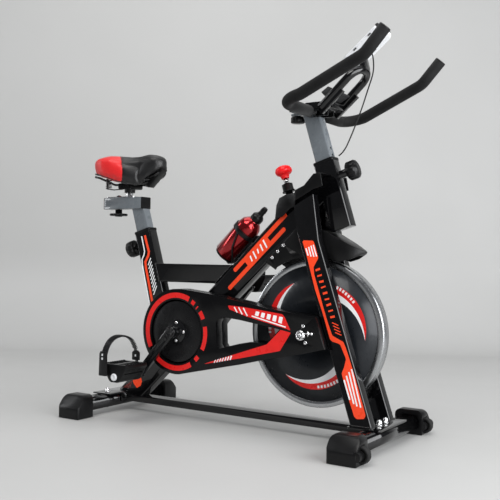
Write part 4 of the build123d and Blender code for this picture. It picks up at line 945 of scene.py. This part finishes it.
def surface_points(obj, starts, direction, lift):
    """Cast points onto obj; (point in metres, normal) for each hit, raised by lift mm."""
    hits = []
    for start in starts:
        hit, point, normal, _ = obj.ray_cast(place(*start), Vector(direction))
        if hit:
            hits.append((point + normal * lift / 1000, normal))
    return hits


def stitches(name, spots, material):
    """Row of short raised thread stitches along (point, normal) spots."""
    pitch, length, radius, segments = 4.2, 2.7, 0.45, 6
    # place along half a stitch, radius share, height
    rings = ((-1, 0.35, 0.0), (-0.5, 1.0, 0.35), (0.5, 1.0, 0.35), (1, 0.35, 0.0))
    points = [point for point, _ in spots]
    verts, faces = [], []
    for i, t in walk(points, first=0.0, pitch=pitch / 1000):
        centre = points[i].lerp(points[i + 1], t)
        normal = spots[i][1].lerp(spots[i + 1][1], t).normalized()
        along = (points[i + 1] - points[i]).normalized()
        across = normal.cross(along).normalized()
        faces += tube_faces(len(rings), segments, base=len(verts))
        for offset, share, height in rings:
            ring_centre = centre + along * offset * length / 2000 + normal * (height / 1000)
            verts += circle(ring_centre, across, normal, radius * share, segments)
    mesh_object(name, verts, faces, material, "saddle", smooth=True)


def saddle_seams(saddle):
    """Cord in the seam, a row of stitches on each side, and a welt round the skirt."""
    down = (0, 0, -1)
    ys = [-82 + 164 * i / 60 for i in range(61)]
    seam = [(seam_x(y), y, 840) for y in ys]
    cord = [drawn(point) for point, _ in surface_points(saddle, seam, down, lift=0.15)]
    tube("saddle_seam_cord", cord, 0.9, "cover_black", "saddle", segments=8)
    for k, (offset, material) in enumerate(((-4.5, "film_black"), (4.5, "film_dark"))):
        line = [(x + offset, y, z) for x, y, z in seam]
        stitches(f"saddle_stitch_{k}", surface_points(saddle, line, down, lift=0.05), material)
    welt = []
    for side in (-1, 1):
        xs = [-624 + 250 * i / 150 for i in range(151)][::-side]
        line = [(x, side * 140, interpolate(SADDLE, x)[1] + 5.5) for x in xs]
        welt += surface_points(saddle, line, (0, -side, 0), lift=0.25)
    tube("saddle_welt", [drawn(point) for point, _ in welt], 1.5, "cover_black", "saddle",
         segments=8, closed=True)


# ---------------------------------------------------------------------------
# stage: floor, light, camera; lengths in metres
# ---------------------------------------------------------------------------
def build_backdrop():
    """Floor running up into a soft wall behind the bike, along the view direction."""
    MATERIALS["paper"] = paper("stage_paper")
    floor_end, bend, half_width, drop = 1.7, 0.5, 7, 0.0004
    profile = [(-6.0, 0.0), (floor_end, 0.0)]       # (distance, height)
    for i in range(1, 11):
        angle = math.pi / 2 * i / 10
        profile.append((floor_end + bend * math.sin(angle), bend - bend * math.cos(angle)))
    profile.append((floor_end + bend, 5.0))
    ahead = Vector((-math.sin(CAMERA_YAW), math.cos(CAMERA_YAW), 0))
    right = Vector((math.cos(CAMERA_YAW), math.sin(CAMERA_YAW), 0))
    verts = []
    for distance, z in profile:
        for across in (-half_width, half_width):
            point = ahead * distance + right * across
            verts.append((point.x, point.y, z - drop))
    faces = [(2 * i, 2 * i + 1, 2 * i + 3, 2 * i + 2) for i in range(len(profile) - 1)]
    obj = mesh_object("backdrop", verts, faces, "paper", smooth=True, outward=False)
    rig.stage(obj)


def build_world():
    """Cool ambient light, dimmer where it shows in reflections."""
    world = bpy.data.worlds.new("world")
    scene.world = world
    world.use_nodes = True
    nodes, links = world.node_tree.nodes, world.node_tree.links
    background = nodes["Background"]
    background.inputs["Color"].default_value = (0.93, 0.95, 1.0, 1)
    path = nodes.new("ShaderNodeLightPath")
    strength = nodes.new("ShaderNodeMapRange")
    strength.inputs["To Min"].default_value = 0.55
    strength.inputs["To Max"].default_value = 0.14
    links.new(path.outputs["Is Glossy Ray"], strength.inputs["Value"])
    links.new(strength.outputs["Result"], background.inputs["Strength"])


def area_light(name, location, target, size, power, colour=(1, 1, 1)):
    lamp = bpy.data.lights.new(name, "AREA")
    lamp.shape = "RECTANGLE"
    lamp.size, lamp.size_y = size
    lamp.energy = power
    lamp.color = colour
    obj = bpy.data.objects.new(name, lamp)
    scene.collection.objects.link(obj)
    obj.location = location
    aim = Vector(target) - Vector(location)
    obj.rotation_euler = aim.to_track_quat("-Z", "Y").to_euler()


def build_lights():
    area_light("key", location=(0.1, -2.3, 3.9), target=(0, 0, 0.5), size=(2.4, 1.6),
               power=74, colour=(1, 0.99, 0.97))
    area_light("edge_front", location=(2.9, -0.5, 1.15), target=(0, 0, 0.55), size=(3.6, 2.1),
               power=150, colour=(0.97, 0.98, 1))
    area_light("edge_rear", location=(-2.6, -1.1, 1.3), target=(0, 0, 0.55), size=(0.3, 2.2),
               power=16, colour=(0.97, 0.98, 1))
    area_light("top", location=(0.0, 0.4, 3.4), target=(0, 0, 0), size=(3.0, 2.0), power=34)


def build_camera():
    pitch, roll = -0.0099, 0.0148       # radians
    data = bpy.data.cameras.new("camera")
    data.sensor_width = 36
    data.lens = 57.3264
    camera = bpy.data.objects.new("camera", data)
    scene.collection.objects.link(camera)
    ahead = Vector((-math.sin(CAMERA_YAW) * math.cos(pitch),
                    math.cos(CAMERA_YAW) * math.cos(pitch), -math.sin(pitch)))
    level = Vector((math.cos(CAMERA_YAW), math.sin(CAMERA_YAW), 0))
    upright = level.cross(ahead)
    right = level * math.cos(roll) + upright * math.sin(roll)
    up = upright * math.cos(roll) - level * math.sin(roll)
    matrix = Matrix((right, up, -ahead)).transposed().to_4x4()
    matrix.translation = place(1191.2, -1934.3, 484.1)
    camera.matrix_world = matrix
    scene.camera = camera
    scene.view_settings.view_transform = "Standard"
    scene.view_settings.look = "None"


# ---------------------------------------------------------------------------
# printed films on the frame
# ---------------------------------------------------------------------------
# Outline on the fork legs: x, z, corner radius
LEG_OUTLINE = [
    (162.5, 529.8, 4), (166.4, 532.9, 4), (194.9, 532.0, 6), (198.9, 523.3, 6),
    (210.8, 486.3, 10), (196.5, 462.0, 10), (199.2, 442.4, 8), (212.2, 403.5, 20),
    (227.5, 356.3, 20), (241.2, 318.1, 20), (254.2, 285.7, 8), (264.9, 280.8, 8),
    (286.3, 271.5, 10), (293.6, 257.1, 20), (309.2, 215.9, 20), (327.6, 162.7, 20),
    (344.0, 114.0, 12), (351.6, 89.9, 8), (348.0, 80.2, 8), (326.6, 77.4, 8),
    (319.5, 83.7, 8), (309.9, 110.1, 20), (295.2, 150.9, 20), (282.8, 190.2, 12),
    (289.7, 205.7, 12), (295.0, 227.5, 14), (277.0, 265.3, 14), (255.5, 269.4, 8),
    (248.2, 275.4, 8), (225.3, 343.2, 20), (202.3, 403.1, 20), (184.0, 464.0, 20),
    (175.1, 494.6, 20)]
# White strips at the top and foot of the legs: start, end, width
LEG_TICKS = [
    ((173.3, 512), (180.1, 492.4), 3.6), ((181.2, 515.4), (188.9, 490), 3.6),
    ((188.1, 518.8), (197.5, 489.6), 3.6), ((195.0, 521.4), (205.4, 490.2), 3.4),
    ((290.1, 174.0), (306.8, 124.5), 4.2), ((296.6, 185.0), (318.6, 115.2), 4.2),
    ((303.6, 195.1), (327.6, 110.0), 4.0), ((311.0, 203.3), (338.0, 108.1), 3.8)]
# Centre lines down the seat tube: x, z
SEAT_LINE_WHITE = [(-443.1, 547.1), (-429.8, 500.0), (-431.9, 489.5), (-439.7, 473.7),
                   (-438.0, 456.3), (-407.6, 340.7)]
SEAT_LINE_RED = [(-430.0, 549.9), (-412.6, 498.4), (-414.6, 486.2), (-426.0, 467.0),
                 (-424.3, 453.1), (-396.4, 345.5)]
# Outline at the rear end of the main tube: x, z
REAR_OUTLINE = [
    (-384.8, 166.0), (-398.2, 168.3), (-429.1, 143.2), (-430.0, 131.1), (-454.1, 127.9),
    (-456.5, 102.4), (-470.6, 94.8), (-465.7, 84.0), (-452.7, 71.4), (-436.9, 79.9),
    (-431.7, 94.3), (-437.5, 107.7), (-429.6, 122.3), (-402.2, 145.5)]
# Centre line of the sloping main tube
TUBE_ORIGIN_Z = 505.9           # height at x = 0
TUBE_DIRECTION = (0.728, 0.6854)
TUBE_BAR_HEIGHTS = (9, 13, 7, 11, 14)


def leg_films(side, label):
    face = side * LEG_FACE
    film("leg_film_red_" + label, [rounded(LEG_OUTLINE)], face, "film_red")
    ticks = [strip(*tick) for tick in LEG_TICKS]
    film("leg_film_white_" + label, ticks, face, "film_white", over=OVERPRINT)
    stripes = []
    for i in range(9):
        x, z = between((209.4, 452), (254.5, 331), i / 8)
        width = 4.2 if i % 2 else 5.6
        stripes.append(strip((x - 6.5, z + 1.5), (x + 6.5, z + 6.5 - (i % 3)), width))
    for i in range(4):
        x, z = 262.5 + i * 3.0, 316 - i * 8.2
        stripes.append(strip((x - 9, z + 3), (x + 9.5, z - 3.5), 2.6))
    film("leg_film_bars_" + label, stripes, face, "film_red")


def on_tube(along, above):
    """(x, z) at distances along and above the main tube's centre line."""
    run, rise = TUBE_DIRECTION
    return (along * run - above * rise, TUBE_ORIGIN_Z + along * rise + above * run)


def tube_box(start, end, low, high):
    return [on_tube(start, low), on_tube(end, low), on_tube(end, high), on_tube(start, high)]


def tube_band(start, end, middle):
    """Band along the main tube with almost round ends."""
    width = 12.5
    return rounded(tube_box(start, end, middle - width / 2, middle + width / 2), width * 0.49)


def main_tube_films(side, label):
    face = side * TUBE_FACE
    bands = [tube_band(-109, 128, 19.3), tube_band(-158, 98, -6.8),
             rounded(tube_box(-63, 39, -12, 24.5), 4)]
    # the bands overlap, so each lies a hair above the last
    film("main_tube_film_" + label, bands, face, "film_red", step=0.02)
    slanted = []
    for i, height in enumerate(TUBE_BAR_HEIGHTS):
        start = -46 + i * 15.5
        low, high = 7 - height, 7 + height * 0.8
        slanted.append([on_tube(start, low), on_tube(start + 5, low),
                        on_tube(start + 10, high), on_tube(start + 5, high)])
    film("main_tube_bars_" + label, slanted, face, "film_white", over=0.3)


def rear_films(side, label):
    face = side * TUBE_FACE
    film("rear_film_red_" + label, [rounded(REAR_OUTLINE, 3.5)], face, "film_red")
    hatch = [strip((-507 + 6.5 * i, 67.5 + 0.4 * i),
                   (-500 + 6.5 * i, 74 + 4.6 * i if i < 4 else 91), 3.0) for i in range(5)]
    film("rear_film_hatch_" + label, hatch, face, "film_dark")


def seat_tube_films(side, label):
    face = side * TUBE_FACE
    film("seat_tube_white_" + label, [band(SEAT_LINE_WHITE, 4.0)], face, "film_white")
    film("seat_tube_red_" + label, [band(SEAT_LINE_RED, 8.4)], face, "film_red")
    ticks = [strip(between((-404.6, 479.4), (-379.2, 393.6), i / 8),
                   between((-414.5, 456.7), (-391.1, 365.6), i / 8), 3.4) for i in range(9)]
    film("seat_tube_ticks_" + label, ticks, face, "film_white")


# ---------------------------------------------------------------------------
# printed films on the belt guard and flywheel
# ---------------------------------------------------------------------------
# Ring sectors about the crank: start and end in degrees, inner and outer radius
GUARD_RING = [
    (64.5, 208, 98.5, 113.5), (224, 301, 98.5, 113.5), (23, 36, 98.5, 112), (-26, 11, 98.5, 112),
    (-48, -39.5, 98.5, 111), (51.5, 58.5, 99, 111.5), (43.4, 45.2, 98.5, 110)]
# Outlines: x, z, corner radius
GUARD_UPPER = [(-60, 351, 5), (-54, 340, 5), (2, 323.5, 6), (129.7, 296.5, 2),
               (142.8, 292.2, 2), (124.0, 328, 4), (116, 335.2, 5), (-9, 348.5, 8)]
GUARD_LOWER = [(112, 293.2, 2), (143.6, 287.5, 2), (110.6, 236.6, 5), (-17, 206.6, 8),
               (-140.0, 180.4, 1), (-124.8, 186.0, 1), (-45.0, 213.0, 8), (69.3, 251.2, 6)]
# White strips on the upper film: start, end, width
GUARD_STRIPS = [
    ((-37.8, 347.2), (-28.0, 332.2), 3.6), ((-23.4, 347.0), (-11.0, 328.2), 3.6),
    ((-8.3, 346.2), (5.8, 324.7), 3.6), ((19.8, 325.4), (127.6, 301.2), 3.4)]
# Edges of the curved blades on the flywheel: degrees from the tip, radius
BLADE_OUTER = [(0, 149), (10, 152.5), (25, 154), (45, 152), (62, 147.5), (74, 141)]
BLADE_MIDDLE = [(0, 149), (12, 145.0), (27, 140.0), (46, 133.0), (62, 127.5), (74, 123)]
BLADE_INNER = [(0, 148.6), (13, 139.6), (28, 130.0), (46, 119.0), (62, 109.5), (74, 103.5)]


def guard_films():
    def put(name, outlines, material="film_deep", over=0.0):
        film(name, outlines, GUARD_FACE, material, over=over)

    put("guard_ring_film", [arc_band(*sector) for sector in GUARD_RING])
    put("guard_upper_film", [rounded(GUARD_UPPER)])
    upper = [strip(*row) for row in GUARD_STRIPS]
    for i in range(5):
        x = 30 + 18.5 * i
        upper.append([(x, 328.0 - 3.9 * i), (x + 11, 325.6 - 3.9 * i),
                      (x + 14.5, 337.6 - 2.6 * i), (x + 3.5, 339.0 - 2.6 * i)])
    put("guard_upper_bars", upper, "film_white", OVERPRINT)
    put("guard_lower_film", [rounded(GUARD_LOWER)])
    lower = [strip((-103.5 + 9.0 * i, 187.2 + 2.1 * i), (-98.5 + 9.0 * i, 196.0 + 2.6 * i),
                   2.6 + 0.25 * i) for i in range(7)]
    put("guard_lower_bars", lower, "film_white", OVERPRINT)


def blade(tip, outer, inner):
    """Curved blade from a tip angle, between two edge tables."""
    def edge(table):
        angles = [table[-1][0] * i / 18 for i in range(19)]
        return [polar(HUB, interpolate(table, a)[0], tip + a) for a in angles]
    # the inner edge returns towards the tip but leaves the tip itself out
    return edge(outer) + edge(inner)[:0:-1]


def flywheel_films():
    """Three blades a side, red outside and white inside, with short bars on the red."""
    for side, label in SIDES:
        face = side * FLYWHEEL_FACE
        for k in range(3):
            tip = -4 + 120 * k - (2.8 if k == 2 else 0)
            film(f"swoosh_red_{label}_{k}", [blade(tip, BLADE_OUTER, BLADE_MIDDLE)],
                 face, "film_deep", "flywheel")
            film(f"swoosh_white_{label}_{k}", [blade(tip, BLADE_MIDDLE, BLADE_INNER)],
                 face, "film_white", "flywheel")
            short = [arc_band(tip + a, tip + a + 2.3, 138 + 0.16 * (62 - a),
                              146.5 + 0.10 * (62 - a), HUB, steps=3) for a in range(41, 66, 4)]
            film(f"swoosh_bars_{label}_{k}", short, face, "film_white", "flywheel",
                 over=OVERPRINT)


# ---------------------------------------------------------------------------
# turned caps; profiles are (radius, height)
# ---------------------------------------------------------------------------
PEDAL_CAP = [(10.5, 0), (10.5, 2.6), (9.8, 3.8), (8.0, 4.6), (5.5, 4.9), (5.0, 4.4), (0, 4.4)]
BAR_END = [(15.2, -0.6), (15.6, 0.4), (15.0, 1.8), (12.5, 2.6), (5, 2.9), (0, 2.9)]
DUST_CAP = [(13.2, 0), (13.2, 2.0), (12.4, 3.0), (9.0, 3.9), (8.4, 3.5), (4.0, 3.5), (0, 3.7)]


def pedal_centre(side):
    """(x, z) of a pedal axle."""
    return [centre + side * CRANK_LENGTH * part for centre, part in zip(CRANK, CRANK_DIRECTION)]


def pedal_caps():
    for side, label in SIDES:
        x, z = pedal_centre(side)
        lathe(f"pedal_cap_{label}", (x, side * 233.9, z), PEDAL_CAP, (0, side, 0), "white",
              "pedal_" + label)


def handlebar_parts():
    """Woven grey block inside the loop, and a cap on each bar end."""
    outline = rounded([(188, 934), (209, 948), (247, 928), (213, 909.5)], 3)
    block("loop_block", outline, -30, 30, "block", "handlebar", bevel=0.002)
    bar_axis = (440 - 388.4, 0, 1033 - 975.8)
    for side, label in SIDES:
        lathe(f"bar_end_{label}", (441.0, side * 192.3, 1034.1), BAR_END, bar_axis, "plastic",
              "handlebar")


def crank_dust_caps():
    for side, label in SIDES:
        lathe(f"crank_dust_cap_{label}", (CRANK[0], side * 128.2, CRANK[1]), DUST_CAP,
              (0, side, 0), "arm", "crank")


# ---------------------------------------------------------------------------
# display: digits, clips, hood and ribs
# ---------------------------------------------------------------------------
DISPLAY_ORIGIN = (303.0, 0, 1053.0)
DISPLAY_SLOPE = (0.770, 0.638)          # x and z per mm up the face

SEGMENTS_LIT = {"0": "abcdef", "2": "abged", "5": "afgcd", "8": "abcdefg"}


def on_display(across, up, height):
    """across towards the rider's left, up the slope, height above the face."""
    run, rise = DISPLAY_SLOPE
    point = (Vector(DISPLAY_ORIGIN) + Vector((run, 0, rise)) * up
             + Vector((0, 1, 0)) * across + Vector((-rise, 0, run)) * height)
    return place(*point)


def rectangle(left, right, low, high):
    return [(left, low), (right, low), (right, high), (left, high)]


def plates(name, outlines, low, high, material):
    """Thin (across, up) outlines between two heights above the display face."""
    verts, faces = [], []
    for outline in outlines:
        base, count = len(verts), len(outline)
        for height in (low, high):
            verts += [on_display(across, up, height) for across, up in outline]
        faces.append(tuple(base + i for i in range(count)))
        faces.append(tuple(base + count + i for i in reversed(range(count))))
        faces += ring_quads(2, count, base)
    mesh_object(name, verts, faces, material, "handlebar")


def digit(character, left, bottom, width, height, stroke):
    """Seven-segment numeral; left grows towards the rider's right."""
    right, top, middle = left + width, bottom + height, bottom + height / 2
    # left, right, low and high of each segment
    segments = {
        "a": (left, right, top - stroke, top),
        "b": (right - stroke, right, middle, top),
        "c": (right - stroke, right, bottom, middle),
        "d": (left, right, bottom, bottom + stroke),
        "e": (left, left + stroke, bottom, middle),
        "f": (left, left + stroke, middle, top),
        "g": (left, right, middle - stroke / 2, middle + stroke / 2)}
    lit = [segments[letter] for letter in SEGMENTS_LIT[character]]
    return [rectangle(-start, -end, low, high) for start, end, low, high in lit]


def display_parts():
    numerals = []
    for i, character in enumerate("085"):
        numerals += digit(character, left=-17 + 12.5 * i, bottom=12, width=9, height=17,
                          stroke=1.9)
    for i in range(4):
        for character, start in (("0", -26), ("2" if i == 2 else "0", 4)):
            numerals += digit(character, left=start + i * 6, bottom=-5, width=4, height=8,
                              stroke=1.0)
    plates("display_digits", numerals, -0.2, -0.12, "film_black")
    lines = [rectangle(-29, 29, -8.6, -9.3), rectangle(-29, 29, 36.6, 35.9)]
    plates("display_frame_line", lines, -0.2, -0.1, "film_black")
    clips = [rectangle(side * 42.3, side * 43.3, up - 5, up + 5)
             for side in (-1, 1) for up in (-20, 32)]
    plates("display_clips", clips, -9.5, -6.5, "plastic")
    hood = [(-40, 58.5), (40, 58.5), (36, 65.9), (-36, 65.9)]
    plates("display_hood", [hood], -8.0, 2.2, "plastic")
    ribs = [rectangle(side * 36, side * 22, 22 + i * 5.2, 24 + i * 5.2)
            for i in range(7) for side in (-1, 1)]
    plates("display_back_ribs", ribs, -20.6, -19.9, "white")


# ---------------------------------------------------------------------------
# saddle: nose shell and coil springs under the cover
# ---------------------------------------------------------------------------
# x, z, corner radius
NOSE_SHELL = [(-376, 764, 3), (-371, 752, 5), (-424, 700, 3), (-434, 702, 3),
              (-440, 722, 3), (-410, 748, 6)]


def saddle_underside():
    block("saddle_nose_shell", rounded(NOSE_SHELL), -13, 13, "plastic", "saddle", bevel=0.003)
    coil_radius, per_turn, steps = 8.5, 16, 96
    for side, label in SIDES:
        # lead-in wire, then the coil
        wire = [(-500, side * 21, 700), (-522, side * 28, 696), (-540, side * 42, 693.5)]
        for i in range(steps + 1):
            angle = 2 * math.pi * i / per_turn
            wire.append((-556 + coil_radius * math.cos(angle),
                         side * 50 + coil_radius * math.sin(angle), 694 + 34 * i / steps))
        tube(f"saddle_coil_{label}", wire, 1.7, "black_wire", "saddle", segments=8)


# ---------------------------------------------------------------------------
# toe straps: ribs, thick ends and pale hole marks
# ---------------------------------------------------------------------------
# Strap path from the outer side over the foot to the inner side, measured from the
# pedal centre: x, distance from the middle plane, z
STRAP_PATH = [(-33, 238.5, 8), (-33, 240.5, 60), (-27, 222, 101), (-22, 188, 113),
              (-12, 152, 99), (-5, 136.5, 64), (-3, 134.5, 42), (-2, 134.4, 20)]
# Outlines measured from the pedal centre: x, z
STRAP_END = [(-49, 2), (-20, 2), (-21, 66), (-25, 72), (-43, 72), (-47, 66)]
STRAP_HOOK = [(-15, 39.5), (11, 39.5), (11, 62), (4, 68), (-8, 68), (-15, 62)]


def strap_ribs(side, label, pedal_x, pedal_z):
    path = catmull_rom([Vector((pedal_x + x, side * y, pedal_z + z)) for x, y, z in STRAP_PATH],
                       steps=24)
    inside = Vector((pedal_x - 18, side * 187, pedal_z + 50))
    total = sum((end - start).length for start, end in zip(path, path[1:]))
    across = Vector((1, 0, 0))
    ribs = []
    for i, t in walk(path, first=62.0, pitch=4.6, stop=total - 52):
        point = path[i].lerp(path[i + 1], t)
        along = (path[i + 1] - path[i]).normalized()
        normal = across.cross(along).normalized()
        if normal.dot(point - inside) < 0:
            normal = -normal
        ribs.append((point + normal * 1.7, across * 9.5, along * 1.15, normal * 1.1))
    bars(f"strap_ribs_{label}", ribs, "strap", "pedal_" + label)


def toe_strap(side, label):
    pedal_x, pedal_z = pedal_centre(side)
    body = "pedal_" + label

    def end_block(name, corners, near, far):
        outline = rounded([(pedal_x + x, pedal_z + z) for x, z in corners], 3)
        y_start, y_end = sorted((side * near, side * far))
        block(name, outline, y_start, y_end, "strap", body, bevel=0.0012)

    def hole(name, x, y, z):
        centre = (pedal_x + x, side * y, pedal_z + z)
        bars(name, [(centre, (2.6, 0, 0), (0, 0, 3.0), (0, 0.35, 0))], "white", body)

    strap_ribs(side, label, pedal_x, pedal_z)
    end_block(f"strap_end_{label}", STRAP_END, 240.6, 245.4)
    for k, z in enumerate((62, 51)):
        hole(f"strap_hole_{label}_{k}", -36, 245.5, z)
    end_block(f"strap_hook_{label}", STRAP_HOOK, 136.2, 141.5)
    hole(f"strap_hook_hole_{label}", -2, 141.7, 53)


# ---------------------------------------------------------------------------
# weld beads where the tubes meet
# ---------------------------------------------------------------------------
# Beads on both sides: name, distance from the middle plane, start and end (x, z), radius
SIDE_WELDS = [
    ("top_tube_rear", 20.4, (-386.0, 463), (-369.4, 407), 2.0),
    ("top_tube_front", 20.4, (-100.6, 463), (-160.0, 407), 2.0),
    ("seat_tube_foot", 20.4, (-367, 212.5), (-298.5, 276.6), 2.0),
    ("leg_base", 76.2, (307, 59.0), (368, 59.0), 2.2),
    ("leg_base_in", 43.8, (307, 59.0), (368, 59.0), 2.2)]


def weld_bead(name, start, end, radius):
    """Rippled bead between two drawing points."""
    start, end = Vector(start), Vector(end)
    steps = max(2, int((end - start).length / 1.3))
    path = [start.lerp(end, i / steps) for i in range(steps)] + [end]
    radii = [radius * (1 + 0.16 * math.sin(i * 2.1)
                       + 0.08 * point_noise(Vector((i * 0.35, 2, radius))))
             for i in range(len(path))]
    tube(name, path, radii, "frame", "frame", segments=8)


def weld_beads():
    for side, letter in ((-1, "r"), (1, "l")):
        for name, y, start, end, radius in SIDE_WELDS:
            weld_bead(f"weld_{name}_{letter}", (start[0], side * y, start[1]),
                      (end[0], side * y, end[1]), radius)
    weld_bead("weld_top_tube_top", (-385.5, -19, 463.6), (-385.5, 19, 463.6), 2.0)
    weld_bead("weld_rear_plate", (-497, -19, 59.2), (-497, 19, 59.2), 2.0)


# ---------------------------------------------------------------------------
# build
# ---------------------------------------------------------------------------
dress_pieces()
saddle = build_saddle()
bpy.context.view_layer.update()     # so that points can be cast onto the saddle
build_backdrop()
build_world()
build_lights()
build_camera()
for side, label in SIDES:
    leg_films(side, label)
    main_tube_films(side, label)
    rear_films(side, label)
    seat_tube_films(side, label)
guard_films()
flywheel_films()
saddle_seams(saddle)
pedal_caps()
handlebar_parts()
display_parts()
saddle_underside()
crank_dust_caps()
for side, label in SIDES:
    toe_strap(side, label)
weld_beads()

json.dump({"cad": [list(CAD_BOX[0]), list(CAD_BOX[1])],
           "visual": [list(v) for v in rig.bounds()]}, open("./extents.json", "w"))
